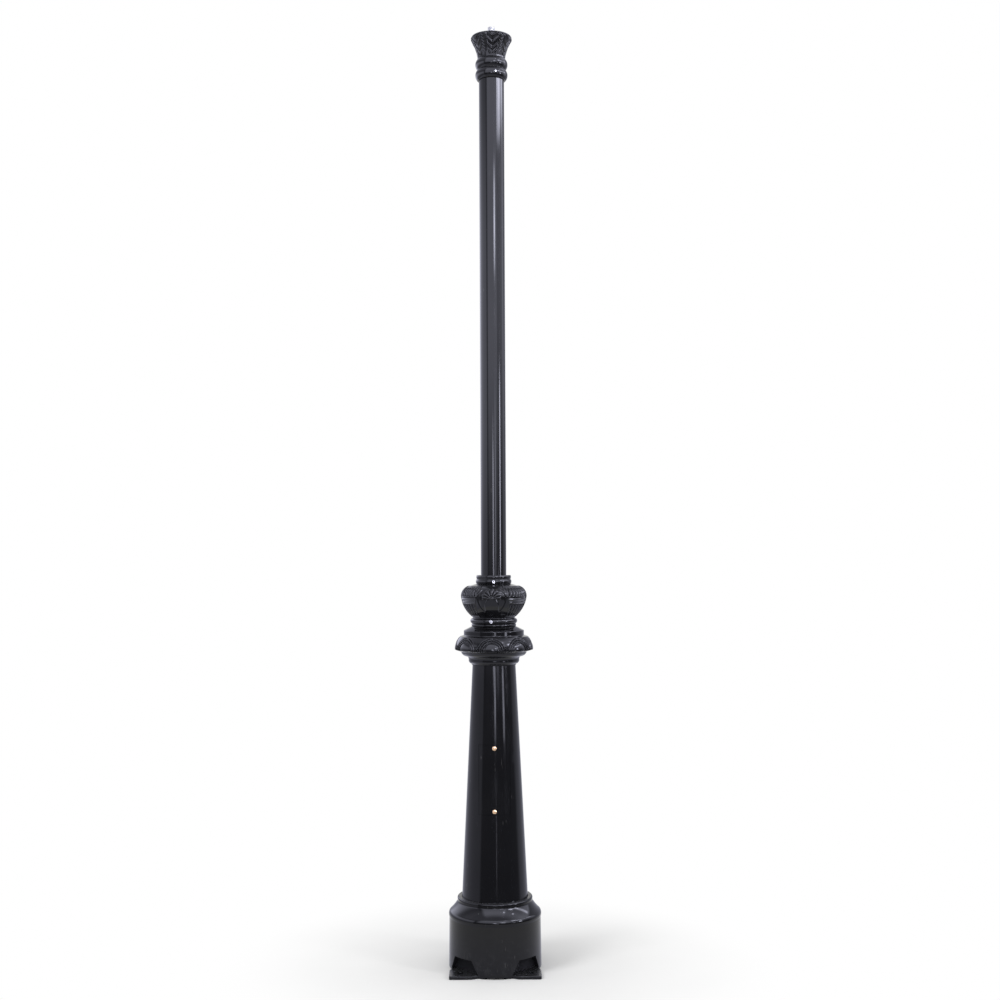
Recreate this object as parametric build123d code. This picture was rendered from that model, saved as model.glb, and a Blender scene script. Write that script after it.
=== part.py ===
from build123d import *
import math
import os

# Ornamental lamp post, in millimetres. The origin is on the ground, on the post's axis.
# +Z is up and the access door faces -Y. Angles round the post run from the front towards +X.

# Clearances
TURN_GAP = 0.4          # radial gap round the tube where it turns in a casting
SOCKET_GAP = 0.2        # radial gap of a fixed tube or cone in its socket
SCREW_GAP = 0.15        # radial gap of a screw in its tapped hole
DOOR_GAP = 0.6          # gap round the door's edge
SEAL_GAP = 0.3          # gap between the gasket and its landing
WASHER_GAP = 0.1        # gap between a retaining washer and the door
GLUE_GAP = 0.1          # glue between the gasket and the door

# Mast tube
TUBE_R = 38.0
TUBE_WALL = 4.0
TUBE_INSERT = 165.0     # length of tube inside the column
TUBE_LENGTH = 1995.0

# Base casting
FOOT_SPAN = 268.0       # square across the four feet
FOOT_THICK = 10.0
FOOT_FACE = 64.0        # straight front face of a foot, from its corner
FOOT_END_ANGLE = 20.5   # where a foot's slanted end meets the drum
ANCHOR_X = 101.0        # anchor bolt holes
ANCHOR_Y = 101.0
ANCHOR_HOLE_R = 8.0
POCKET_BACK = 112.0     # from the axis to the back wall of a bolt pocket in the drum
POCKET_HEIGHT = 40.0    # above a foot's top
POCKET_FOOT_HALF = 56.0
POCKET_TOP_HALF = 34.0
DRUM_LIFT = 4.0         # drum's underside above the ground
DRUM_FOOT_R = 137.2
DRUM_TOP_R = 136.0
DRUM_HEIGHT = 146.0
BEAD_R = 137.4
BEAD_HEIGHT = 18.0
COVE_START_R = 134.2
COVE_HEIGHT = 28.0
COVE_SAG = 1.6          # depth of the cove below its chord
NECK_R = 111.5
NECK_HEIGHT = 13.0
NECK_LIP = 4.0
BASE_WALL = 8.0
SOCKET_DEPTH = 14.0     # depth of the column's seat in the neck
LEDGE_THICK = 12.0      # ledge that the column stands on
CABLE_BORE_R = 68.0     # cable way through the ledge and the column's flange

# Tapered column
COLUMN_FOOT_R = 98.4
COLUMN_TOP_R = 63.9
COLUMN_HEIGHT = 710.0
COLUMN_WALL = 6.0
FLANGE_THICK = 12.0
TOP_WEB_THICK = 20.0
GUIDE_THICK = 12.0
GUIDE_ABOVE_END = 8.0   # guide web's underside above the tube's end

# Bolts from the base into the column's flange
BOLT_R = 5.0
BOLT_CIRCLE_R = 80.0
BOLT_COUNT = 4
BOLT_FLAT = 17.0        # across the flats of the head
BOLT_HEAD = 6.4
BOLT_WASHER_R = 10.0
BOLT_WASHER_THICK = 2.0
BOLT_END_COVER = 2.0    # metal left above a bolt's end
BOLT_HOLE_GAP = 0.5

# Access door
DOOR_WIDTH = 92.0
DOOR_HEIGHT = 202.0
DOOR_BOTTOM = 461.5     # above the ground
DOOR_THICK = 5.0
GASKET_THICK = 1.2
LANDING_THICK = 6.0     # added behind the column's wall round the opening
LANDING_EDGE = 10.0     # landing beyond the opening, all round
WINDOW_WIDTH = 72.0
WINDOW_HEIGHT = 163.0

# Door screws and their retaining washers
DOOR_SCREW_INSET = 9.5  # from the door's top and bottom edges
DOOR_SCREW_R = 3.0
DOOR_SCREW_HOLE_GAP = 0.35
DOOR_HEAD_R = 6.25
DOOR_HEAD_EDGE = 1.4
DOOR_HEAD_HEIGHT = 4.2
DOOR_SOCKET_R = 2.4
DOOR_SOCKET_DEPTH = 2.2
DOOR_SCREW_END = 2.0    # screw beyond the back of the landing
SPOT_R = 6.8            # spot face under a screw head
SPOT_DEPTH = 0.8
RETAINER_R = 5.0
RETAINER_THICK = 1.2
RETAINER_POCKET_R = 5.5
RETAINER_POCKET_DEPTH = 1.8

# Backboard, terminal block and earth stud
BOARD_WIDTH = 72.0
BOARD_HEIGHT = 160.0
BOARD_THICK = 8.0
BOARD_BACK_Y = 54.0
POST_R = 8.0
POST_PITCH = 110.0
BOARD_SCREW_R = 2.5
BOARD_SCREW_LENGTH = 22.0
PAN_HEAD_R = 4.6
PAN_HEAD_HEIGHT = 2.6
BLOCK_WIDTH = 60.0
BLOCK_HEIGHT = 26.0
BLOCK_DEPTH = 22.0
BLOCK_RAISE = 0.0       # block's middle above the board's middle
POLE_PITCH = 15.0
POLE_COUNT = 3
WIRE_HOLE_R = 3.2
TERMINAL_SCREW_R = 2.0
TERMINAL_SCREW_LENGTH = 7.0
TERMINAL_SCREW_PITCH = 14.0
BLOCK_SCREW_PITCH = 50.0
BLOCK_SCREW_R = 1.8
BLOCK_SCREW_BITE = 6.0
EARTH_DROP = 27.0       # earth stud below the board
EARTH_R = 4.0
EARTH_BITE = 12.0
EARTH_REACH = 24.0
EARTH_NUT_FLAT = 13.0
EARTH_NUT_HEIGHT = 6.5
EARTH_WASHER_R = 8.0
EARTH_WASHER_THICK = 1.6

# Lower capital, from its bottom edge up
SKIRT_DEPTH = 11.0      # skirt over the column's top
SKIRT_EDGE_R = 66.8
SKIRT_LAND = 2.5
CAPITAL_RING_TOP_R = 75.8
CAPITAL_RING_HEIGHT = 12.5
CAPITAL_RING_BULGE = 2.2
HOLLOW_R = 81.0
HOLLOW_HEIGHT = 13.0
HOLLOW_SAG = 2.0        # depth of the hollow under the bowl below its chord
BOWL_FOOT_R = 85.0
BOWL_R = 98.5
BOWL_HEIGHT = 13.5
BOWL_BULGE = 3.0
LEAF_R = 116.4
LEAF_OVERHANG = 6.0     # height of the sloping underside of the leaves
LEAF_TOP_R = 102.0
LEAF_HEIGHT = 39.0
LEAF_BULGE_R = 112.5
PLATE_R = 90.0
PLATE_STEP = 4.0
PLATE_HEIGHT = 14.0
CAPITAL_TOP_R = 66.7
CAPITAL_SLOPE = 11.5
CAPITAL_LAND = 0.5
CAPITAL_WALL = 10.0
CAPITAL_LEDGE_R = 55.0  # inner edge of the ledge on the column's top
CAPITAL_LEDGE_THICK = 8.0

# Column boss, from its bottom edge up
BOSS_FOOT_R = 66.7
BOSS_FOOT_HEIGHT = 8.0
BOSS_RING_R = 70.2
BOSS_RING_HEIGHT = 17.0
BOSS_WAIST_R = 63.0
BOSS_WAIST_HEIGHT = 2.0
BELLY_R = 98.5
BELLY_HEIGHT = 63.0
BELLY_BULGE = 7.5       # bulge of the bowl beyond its chord
SHOULDER_R = 69.0
SHOULDER_HEIGHT = 31.5
SHOULDER_BULGE = 9.0
BOSS_NECK_R = 51.0
BOSS_NECK_RISE = 5.5
BOSS_NECK_HEIGHT = 0.5
COLLAR_LOW_R = 53.5
COLLAR_HIGH_R = 52.0
COLLAR_HEIGHT = 11.5
COLLAR_GROOVE = 2.5
COLLAR_GAP = 2.0
COLLAR_ROUND = 1.5
BOSS_WALL = 9.0
BOSS_HUB = 28.0         # height of the bored hub at the boss's bottom

# Screws round the boss, the collar and the top capital
RING_SCREW_COUNT = 3
BOSS_UPPER_SCREW_R = 4.0
BOSS_UPPER_SCREW_ANGLE = 0.0
BOSS_LOWER_SCREW_R = 4.5
BOSS_LOWER_SCREW_ANGLE = -6.7
CAPITAL_SCREW_R = 2.5
CAPITAL_SCREW_ANGLE = 16.0
COLLAR_SCREW_R = 3.0
COLLAR_SCREW_ANGLE = 60.0
SCREW_STANDS_OUT = 1.6
KEY_SHARE = 0.55        # socket's corner radius as a share of the screw's radius
KEY_DEPTH = 2.5

# Mast collar, on the column's top inside the lower capital
MAST_COLLAR_R = 52.0
MAST_COLLAR_HEIGHT = 16.0

# Grommet in the tube's lower end
GROMMET_WALL = 2.6
GROMMET_SLEEVE = 15.0
GROMMET_FLANGE = 4.0

# Top capital, from its bottom edge up
TOP_RING_R = 48.8
TOP_RING_HEIGHT = 32.0
TOP_NECK_R = 42.0
TOP_NECK_HEIGHT = 4.0
BELL_R = 59.0
BELL_HEIGHT = 51.0
BELL_MIDDLE_R = 46.0
BELL_MIDDLE_HEIGHT = 22.0
RIM_R = 61.5
RIM_HEIGHT = 12.0
RIM_MIDDLE = 7.0
TOP_FLAT_R = 58.0
TOP_SOCKET_DEPTH = 81.0
TOP_SEAT_R = 30.0       # cavity above the seat on the tube's end
TOP_PLATE_THICK = 15.0

# Lamp nipple, its nut and washer
NIPPLE_R = 10.5
NIPPLE_TAIL_R = 9.8     # below the cone that seats in the mouth of the capital's hole
NIPPLE_SEAT_GAP = 0.35  # between the stub and the hole's mouth
NIPPLE_BORE_R = 7.5
NIPPLE_STANDS_OUT = 32.0
NIPPLE_BELOW_PLATE = 14.0
NIPPLE_CHAMFER = 1.2
NIPPLE_NUT_FLAT = 30.0
NIPPLE_NUT_HEIGHT = 8.0
NIPPLE_WASHER_R = 17.0
NIPPLE_WASHER_THICK = 2.0

# Heights worked out from the sizes above
DRUM_TOP = DRUM_LIFT + DRUM_HEIGHT
BEAD_TOP = DRUM_TOP + BEAD_HEIGHT
COVE_TOP = BEAD_TOP + COVE_HEIGHT
BASE_TOP = COVE_TOP + NECK_HEIGHT
COLUMN_FOOT = BASE_TOP - SOCKET_DEPTH
COLUMN_TOP = COLUMN_FOOT + COLUMN_HEIGHT
LEDGE_UNDERSIDE = COLUMN_FOOT - LEDGE_THICK
TUBE_END = COLUMN_TOP - TUBE_INSERT
TUBE_TOP = TUBE_END + TUBE_LENGTH
DOOR_TOP = DOOR_BOTTOM + DOOR_HEIGHT
DOOR_MIDDLE = DOOR_BOTTOM + DOOR_HEIGHT / 2
SCREW_HEIGHTS = {"upper": DOOR_TOP - DOOR_SCREW_INSET, "lower": DOOR_BOTTOM + DOOR_SCREW_INSET}
BOARD_FRONT_Y = BOARD_BACK_Y - BOARD_THICK
BLOCK_FRONT_Y = BOARD_FRONT_Y - BLOCK_DEPTH
BLOCK_MIDDLE = DOOR_MIDDLE + BLOCK_RAISE
POST_HEIGHTS = [DOOR_MIDDLE - POST_PITCH / 2, DOOR_MIDDLE + POST_PITCH / 2]
EARTH_HEIGHT = DOOR_MIDDLE - BOARD_HEIGHT / 2 - EARTH_DROP
CAPITAL_FOOT = COLUMN_TOP - SKIRT_DEPTH
HOLLOW_TOP = CAPITAL_FOOT + CAPITAL_RING_HEIGHT + HOLLOW_HEIGHT
BOWL_TOP = HOLLOW_TOP + BOWL_HEIGHT
LEAF_FOOT = BOWL_TOP + LEAF_OVERHANG
LEAF_TOP = LEAF_FOOT + LEAF_HEIGHT
PLATE_FOOT = LEAF_TOP + PLATE_STEP
PLATE_TOP = PLATE_FOOT + PLATE_HEIGHT
SLOPE_TOP = PLATE_TOP + CAPITAL_SLOPE
BOSS_FOOT = SLOPE_TOP + CAPITAL_LAND
RING_FOOT = BOSS_FOOT + BOSS_FOOT_HEIGHT
RING_TOP = RING_FOOT + BOSS_RING_HEIGHT
WAIST_TOP = RING_TOP + BOSS_WAIST_HEIGHT
BELLY = WAIST_TOP + BELLY_HEIGHT
SHOULDER = BELLY + SHOULDER_HEIGHT
BOSS_NECK = SHOULDER + BOSS_NECK_RISE
COLLAR_LOW_FOOT = BOSS_NECK + BOSS_NECK_HEIGHT
COLLAR_LOW_TOP = COLLAR_LOW_FOOT + COLLAR_HEIGHT
COLLAR_HIGH_FOOT = COLLAR_LOW_TOP + COLLAR_GAP
BOSS_TOP = COLLAR_HIGH_FOOT + COLLAR_HEIGHT
TOP_FOOT = TUBE_TOP - TOP_SOCKET_DEPTH
BELL_FOOT = TOP_FOOT + 2 * TOP_RING_HEIGHT + TOP_NECK_HEIGHT
BELL_TOP = BELL_FOOT + BELL_HEIGHT
TOP_FLAT = BELL_TOP + RIM_HEIGHT
TOP_PLATE_UNDERSIDE = TOP_FLAT - TOP_PLATE_THICK

BASE = (Align.CENTER, Align.CENTER, Align.MIN)
OVERLAP = 1.0           # depth by which features of one casting run into its wall


def turned(*steps):
    """Turn a closed outline about Z. A step is a point (r, z), or (via, end) for an arc."""
    edges = []
    here = Vector(steps[0][0], 0, steps[0][1])
    for step in steps[1:] + steps[:1]:
        curved = isinstance(step[0], tuple)
        r, z = step[1] if curved else step
        end = Vector(r, 0, z)
        if curved:
            via = Vector(step[0][0], 0, step[0][1])
            edges.append(ThreePointArc(here, via, end))
        else:
            edges.append(Line(here, end))
        here = end
    return revolve(Face(Wire(edges)), Axis.Z)


def ring(inner, outer, bottom, top):
    """A plain ring about Z."""
    return turned((inner, bottom), (outer, bottom), (outer, top), (inner, top))


def bulged(start, end, bulge):
    """A point beside the middle of a chord, on its right-hand side by the bulge."""
    length = math.dist(start, end)
    across = (end[1] - start[1]) / length
    along = (end[0] - start[0]) / length
    return ((start[0] + end[0]) / 2 + across * bulge, (start[1] + end[1]) / 2 - along * bulge)


def outward(angle, height):
    """A place on the axis whose own Z points outwards at an angle from the front."""
    return Location((0, 0, height), (0, 0, angle - 90)) * Location((0, 0, 0), (0, 90, 0))


def spread(first):
    """Angles of a set of screws spread evenly round the post."""
    return [first + 360 / RING_SCREW_COUNT * index for index in range(RING_SCREW_COUNT)]


def radial_rod(radius, start, end, angle, height):
    """A round rod that points outwards, between two distances from the axis."""
    return outward(angle, height) * Pos(0, 0, start) * Cylinder(radius, end - start, align=BASE)


def radial_holes(radius, reach, first, height):
    """The tapped holes for a set of screws round a ring."""
    return [radial_rod(radius + SCREW_GAP, TUBE_R, reach, angle, height) for angle in spread(first)]


def radial_screws(radius, start, end, first, height):
    """A set of socket set screws round a ring."""
    screws = []
    for angle in spread(first):
        key = extrude(RegularPolygon(radius * KEY_SHARE, 6), KEY_DEPTH)
        socket = outward(angle, height) * Pos(0, 0, end - KEY_DEPTH) * key
        screws.append(radial_rod(radius, start, end, angle, height) - socket)
    return Compound(screws)


def hexagon(flats, height):
    """A hexagonal prism by its width across the flats."""
    return extrude(RegularPolygon(flats / math.sqrt(3), 6), height)


def front_rod(radius, x, z, front, back):
    """A round rod along Y between two Y positions, front first."""
    place = Location((x, back, z), (90, 0, 0))
    return place * Cylinder(radius, back - front, align=BASE)


def pan_screw(x, z, face, length, radius):
    """A pan-head screw whose head sits on a face that looks to the front."""
    shank = front_rod(radius, x, z, face, face + length)
    head = front_rod(PAN_HEAD_R, x, z, face - PAN_HEAD_HEIGHT, face)
    slot = Pos(x, face - PAN_HEAD_HEIGHT, z) * Box(2 * PAN_HEAD_R, PAN_HEAD_HEIGHT, radius / 2)
    return shank + head - slot


def foot_plan(side_x, side_y):
    """Outline of one foot: a corner of the square, cut back to the drum."""
    half = FOOT_SPAN / 2
    root = DRUM_FOOT_R - BASE_WALL / 2
    near = root * math.sin(math.radians(FOOT_END_ANGLE))
    far = root * math.cos(math.radians(FOOT_END_ANGLE))
    corners = [(half, half), (half - FOOT_FACE, half), (near, far), (far, near), (half, half - FOOT_FACE)]
    return make_face(Polyline([(side_x * x, side_y * y) for x, y in corners], close=True))


def bolt_angles():
    """Angles of the column bolts."""
    return [360 / BOLT_COUNT * (index + 0.5) for index in range(BOLT_COUNT)]


def bolt_places(height):
    """Places of the column bolts at a height."""
    turns = [math.radians(angle) for angle in bolt_angles()]
    return [Pos(BOLT_CIRCLE_R * math.cos(t), BOLT_CIRCLE_R * math.sin(t), height) for t in turns]


def upright(bottom_half, top_half, bottom, top, start, end):
    """Block across the X axis that narrows upwards, between two distances from the post's axis."""
    corners = [(-bottom_half, bottom), (bottom_half, bottom), (top_half, top), (-top_half, top)]
    face = make_face(Polyline([(start, y, z) for y, z in corners], close=True))
    return extrude(face, end - start, dir=(1, 0, 0))


def bolt_pocket():
    """Room in the drum over an anchor hole, in the direction of +X."""
    reach = DRUM_FOOT_R + OVERLAP
    ceiling = FOOT_THICK + POCKET_HEIGHT
    return upright(POCKET_FOOT_HALF, POCKET_TOP_HALF, FOOT_THICK, ceiling, POCKET_BACK, reach)


def pocket_housing():
    """Walls behind and over a bolt pocket, inside the drum."""
    middle = DRUM_FOOT_R - BASE_WALL / 2
    top = FOOT_THICK + POCKET_HEIGHT + BASE_WALL
    bottom_half = POCKET_FOOT_HALF + 2 * BASE_WALL
    top_half = POCKET_TOP_HALF + BASE_WALL
    block = upright(bottom_half, top_half, 0, top, POCKET_BACK - BASE_WALL, middle)
    return block & Cylinder(middle, top, align=BASE)


def base_casting():
    """Drum with a bead, cove and neck, open below, on four drilled feet with bolt pockets over them."""
    socket_r = COLUMN_FOOT_R + SOCKET_GAP
    drum_end = (DRUM_TOP_R, DRUM_TOP)
    bead_end = (COVE_START_R, BEAD_TOP)
    cove_end = (NECK_R, COVE_TOP)
    body = turned(
        (DRUM_FOOT_R, DRUM_LIFT),
        drum_end,
        ((BEAD_R, (DRUM_TOP + BEAD_TOP) / 2), bead_end),
        (bulged(bead_end, cove_end, -COVE_SAG), cove_end),
        (NECK_R, BASE_TOP - NECK_LIP),
        ((NECK_R - 0.3 * NECK_LIP, BASE_TOP - 0.3 * NECK_LIP), (NECK_R - NECK_LIP, BASE_TOP)),
        (socket_r, BASE_TOP),
        (socket_r, COLUMN_FOOT),
        (CABLE_BORE_R, COLUMN_FOOT),
        (CABLE_BORE_R, LEDGE_UNDERSIDE),
        (NECK_R - BASE_WALL, LEDGE_UNDERSIDE),
        (DRUM_TOP_R - BASE_WALL, DRUM_TOP + BASE_WALL),
        (DRUM_FOOT_R - BASE_WALL, DRUM_LIFT),
    )
    hollow = Cylinder(DRUM_FOOT_R - BASE_WALL, FOOT_THICK, align=BASE)
    for side_x in (-1, 1):
        for side_y in (-1, 1):
            plan = foot_plan(side_x, side_y)
            body += extrude(plan, FOOT_THICK) - hollow
            corner = Rot(0, 0, math.degrees(math.atan2(side_y, side_x)))
            body += corner * pocket_housing()
            body -= corner * bolt_pocket()
            anchor = Cylinder(ANCHOR_HOLE_R, FOOT_THICK, align=BASE)
            body -= Pos(side_x * ANCHOR_X, side_y * ANCHOR_Y, 0) * anchor
    hole = Cylinder(BOLT_R + BOLT_HOLE_GAP, LEDGE_THICK, align=BASE)
    for place in bolt_places(LEDGE_UNDERSIDE):
        body -= place * hole
    return body


def column_bolts():
    """Hexagon bolts up through the base's ledge into the column's flange."""
    reach = BOLT_WASHER_THICK + LEDGE_THICK + FLANGE_THICK - BOLT_END_COVER
    bolt = hexagon(BOLT_FLAT, BOLT_HEAD) + Pos(0, 0, BOLT_HEAD) * Cylinder(BOLT_R, reach, align=BASE)
    seat = LEDGE_UNDERSIDE - BOLT_WASHER_THICK - BOLT_HEAD
    return Compound([place * bolt for place in bolt_places(seat)])


def column_bolt_washers():
    """Washers between the bolt heads and the ledge."""
    washer = ring(BOLT_R + BOLT_HOLE_GAP, BOLT_WASHER_R, 0, BOLT_WASHER_THICK)
    return Compound([place * washer for place in bolt_places(LEDGE_UNDERSIDE - BOLT_WASHER_THICK)])


def column_r(z):
    """Outer radius of the tapered column at a height."""
    share = (z - COLUMN_FOOT) / COLUMN_HEIGHT
    return COLUMN_FOOT_R + (COLUMN_TOP_R - COLUMN_FOOT_R) * share


def cone_layer(outer, inner, bottom, top):
    """A layer of the column's wall, between two depths below its outer face."""
    return turned(
        (column_r(bottom) - inner, bottom),
        (column_r(bottom) - outer, bottom),
        (column_r(top) - outer, top),
        (column_r(top) - inner, top),
    )


def front_panel(width, height):
    """A block through the column's front wall, centred on the door."""
    return Pos(0, -COLUMN_FOOT_R, DOOR_MIDDLE) * Box(width, 2 * COLUMN_FOOT_R, height)


def tapered_column():
    """Cast cone with a foot flange, two webs for the tube, a door landing and board posts."""
    tube_way = TUBE_R + TURN_GAP
    body = cone_layer(0, COLUMN_WALL, COLUMN_FOOT, COLUMN_TOP)
    flange_top = COLUMN_FOOT + FLANGE_THICK
    body += ring(CABLE_BORE_R, column_r(flange_top) - COLUMN_WALL + OVERLAP, COLUMN_FOOT, flange_top)
    guide = TUBE_END + GUIDE_ABOVE_END
    for bottom, thick in ((COLUMN_TOP - TOP_WEB_THICK, TOP_WEB_THICK), (guide, GUIDE_THICK)):
        edge = column_r(bottom + thick) - COLUMN_WALL + OVERLAP
        body += ring(tube_way, edge, bottom, bottom + thick)
    rebate = DOOR_THICK + GLUE_GAP + GASKET_THICK + SEAL_GAP
    wide = DOOR_WIDTH + 2 * LANDING_EDGE
    high = DOOR_HEIGHT + 2 * LANDING_EDGE
    bottom = DOOR_MIDDLE - high / 2
    landing = cone_layer(COLUMN_WALL - OVERLAP, COLUMN_WALL + LANDING_THICK, bottom, bottom + high)
    body += landing & front_panel(wide, high)
    skin = cone_layer(-COLUMN_WALL, rebate, bottom, bottom + high)
    body -= skin & front_panel(DOOR_WIDTH + 2 * DOOR_GAP, DOOR_HEIGHT + 2 * DOOR_GAP)
    body -= front_panel(WINDOW_WIDTH, WINDOW_HEIGHT)
    for height in SCREW_HEIGHTS.values():
        body -= front_rod(DOOR_SCREW_R + DOOR_SCREW_HOLE_GAP, 0, height, -column_r(height), 0)
    for height in POST_HEIGHTS:
        body += front_rod(POST_R, 0, height, BOARD_BACK_Y, column_r(height) - COLUMN_WALL / 2)
        bite = BOARD_FRONT_Y + BOARD_SCREW_LENGTH
        body -= front_rod(BOARD_SCREW_R + SCREW_GAP, 0, height, BOARD_BACK_Y, bite)
    body += front_rod(POST_R, 0, EARTH_HEIGHT, BOARD_BACK_Y, column_r(EARTH_HEIGHT) - COLUMN_WALL / 2)
    body -= front_rod(EARTH_R + SCREW_GAP, 0, EARTH_HEIGHT, BOARD_BACK_Y, BOARD_BACK_Y + EARTH_BITE)
    tapped = Cylinder(BOLT_R + SCREW_GAP, FLANGE_THICK - BOLT_END_COVER, align=BASE)
    for place in bolt_places(COLUMN_FOOT):
        body -= place * tapped
    return body


def access_door():
    """Curved door, flush in the column, with a spot face and a back pocket at each screw."""
    body = cone_layer(0, DOOR_THICK, DOOR_BOTTOM, DOOR_TOP) & front_panel(DOOR_WIDTH, DOOR_HEIGHT)
    for height in SCREW_HEIGHTS.values():
        face = column_r(height)
        body -= front_rod(DOOR_SCREW_R + DOOR_SCREW_HOLE_GAP, 0, height, -face - OVERLAP, 0)
        body -= front_rod(SPOT_R, 0, height, -face - OVERLAP, -face + SPOT_DEPTH)
        pocket = -face + DOOR_THICK - RETAINER_POCKET_DEPTH
        body -= front_rod(RETAINER_POCKET_R, 0, height, pocket, 0)
    return body


def door_gasket():
    """Flat seal stuck on the back of the door, round its edge."""
    front = DOOR_THICK + GLUE_GAP
    body = cone_layer(front, front + GASKET_THICK, DOOR_BOTTOM, DOOR_TOP)
    body = (body & front_panel(DOOR_WIDTH, DOOR_HEIGHT)) - front_panel(WINDOW_WIDTH, WINDOW_HEIGHT)
    for height in SCREW_HEIGHTS.values():
        body -= front_rod(RETAINER_POCKET_R, 0, height, -column_r(height), 0)
    return body


def door_screw(height):
    """Round-head socket screw through the door into the landing."""
    face = -column_r(height) + SPOT_DEPTH
    end = -column_r(height) + COLUMN_WALL + LANDING_THICK + DOOR_SCREW_END
    rise = DOOR_HEAD_HEIGHT - DOOR_HEAD_EDGE
    crown_r = (DOOR_HEAD_R ** 2 + rise ** 2) / (2 * rise)
    half_way = DOOR_HEAD_HEIGHT - crown_r + math.sqrt(crown_r ** 2 - DOOR_HEAD_R ** 2 / 4)
    crown = ((DOOR_HEAD_R / 2, half_way), (0, DOOR_HEAD_HEIGHT))
    head = turned((0, 0), (DOOR_HEAD_R, 0), (DOOR_HEAD_R, DOOR_HEAD_EDGE), crown)
    key = extrude(RegularPolygon(DOOR_SOCKET_R, 6), DOOR_SOCKET_DEPTH)
    head -= Pos(0, 0, DOOR_HEAD_HEIGHT - DOOR_SOCKET_DEPTH) * key
    shank = front_rod(DOOR_SCREW_R, 0, height, face, end)
    return shank + Location((0, face, height), (90, 0, 0)) * head


def screw_retainer(height):
    """Washer pressed on a door screw, in the pocket in the door's back."""
    pocket = -column_r(height) + DOOR_THICK - RETAINER_POCKET_DEPTH
    front = pocket + WASHER_GAP
    disc = front_rod(RETAINER_R, 0, height, front, front + RETAINER_THICK)
    bore = DOOR_SCREW_R + SCREW_GAP
    return disc - front_rod(bore, 0, height, front - OVERLAP, front + RETAINER_THICK + OVERLAP)


def backboard():
    """Board behind the door that carries the terminal block."""
    middle = (BOARD_FRONT_Y + BOARD_BACK_Y) / 2
    body = Pos(0, middle, DOOR_MIDDLE) * Box(BOARD_WIDTH, BOARD_THICK, BOARD_HEIGHT)
    for height in POST_HEIGHTS:
        body -= front_rod(BOARD_SCREW_R + SCREW_GAP, 0, height, BOARD_FRONT_Y, BOARD_BACK_Y)
    for x in block_screw_places():
        body -= front_rod(BLOCK_SCREW_R + SCREW_GAP, x, BLOCK_MIDDLE, BOARD_FRONT_Y, BOARD_BACK_Y)
    return body


def backboard_screws():
    """Screws through the board into the column's posts."""
    screws = [pan_screw(0, z, BOARD_FRONT_Y, BOARD_SCREW_LENGTH, BOARD_SCREW_R) for z in POST_HEIGHTS]
    return Compound(screws)


def block_screw_places():
    """X positions of the terminal block's fixing screws."""
    return [-BLOCK_SCREW_PITCH / 2, BLOCK_SCREW_PITCH / 2]


def terminal_places():
    """X and Z positions of the terminal screws."""
    first = -POLE_PITCH * (POLE_COUNT - 1) / 2
    columns = [first + POLE_PITCH * index for index in range(POLE_COUNT)]
    rows = [BLOCK_MIDDLE - TERMINAL_SCREW_PITCH / 2, BLOCK_MIDDLE + TERMINAL_SCREW_PITCH / 2]
    return [(x, z) for x in columns for z in rows]


def terminal_block():
    """Moulded block with a wire way through each pole and two screw holes over it."""
    middle = (BLOCK_FRONT_Y + BOARD_FRONT_Y) / 2
    body = Pos(0, middle, BLOCK_MIDDLE) * Box(BLOCK_WIDTH, BLOCK_DEPTH, BLOCK_HEIGHT)
    for x, z in terminal_places():
        body -= front_rod(TERMINAL_SCREW_R + SCREW_GAP, x, z, BLOCK_FRONT_Y, middle)
        body -= Pos(x, middle, BLOCK_MIDDLE) * Cylinder(WIRE_HOLE_R, BLOCK_HEIGHT)
    for x in block_screw_places():
        body -= front_rod(BLOCK_SCREW_R + SCREW_GAP, x, BLOCK_MIDDLE, BLOCK_FRONT_Y, BOARD_FRONT_Y)
    return body


def terminal_screws():
    """Clamping screws in the front of the terminal block."""
    screws = []
    for x, z in terminal_places():
        screw = front_rod(TERMINAL_SCREW_R, x, z, BLOCK_FRONT_Y, BLOCK_FRONT_Y + TERMINAL_SCREW_LENGTH)
        slot = Pos(x, BLOCK_FRONT_Y, z) * Box(2 * TERMINAL_SCREW_R, TERMINAL_SCREW_R, TERMINAL_SCREW_R / 3)
        screws.append(screw - slot)
    return Compound(screws)


def block_screws():
    """Pan-head screws that hold the terminal block on the board."""
    length = BLOCK_DEPTH + BLOCK_SCREW_BITE
    places = block_screw_places()
    return Compound([pan_screw(x, BLOCK_MIDDLE, BLOCK_FRONT_Y, length, BLOCK_SCREW_R) for x in places])


def earth_stud():
    """Threaded stud in the post below the board."""
    end = BOARD_BACK_Y + EARTH_BITE
    return front_rod(EARTH_R, 0, EARTH_HEIGHT, BOARD_BACK_Y - EARTH_REACH, end)


def earth_washer():
    """Washer on the earth stud, against its post."""
    front = BOARD_BACK_Y - EARTH_WASHER_THICK
    disc = front_rod(EARTH_WASHER_R, 0, EARTH_HEIGHT, front, BOARD_BACK_Y)
    return disc - front_rod(EARTH_R + SCREW_GAP, 0, EARTH_HEIGHT, front - OVERLAP, BOARD_BACK_Y + OVERLAP)


def earth_nut():
    """Nut on the earth stud."""
    nut = hexagon(EARTH_NUT_FLAT, EARTH_NUT_HEIGHT)
    nut -= Cylinder(EARTH_R + SCREW_GAP, EARTH_NUT_HEIGHT, align=BASE)
    return Location((0, BOARD_BACK_Y - EARTH_WASHER_THICK, EARTH_HEIGHT), (90, 0, 0)) * nut


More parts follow.
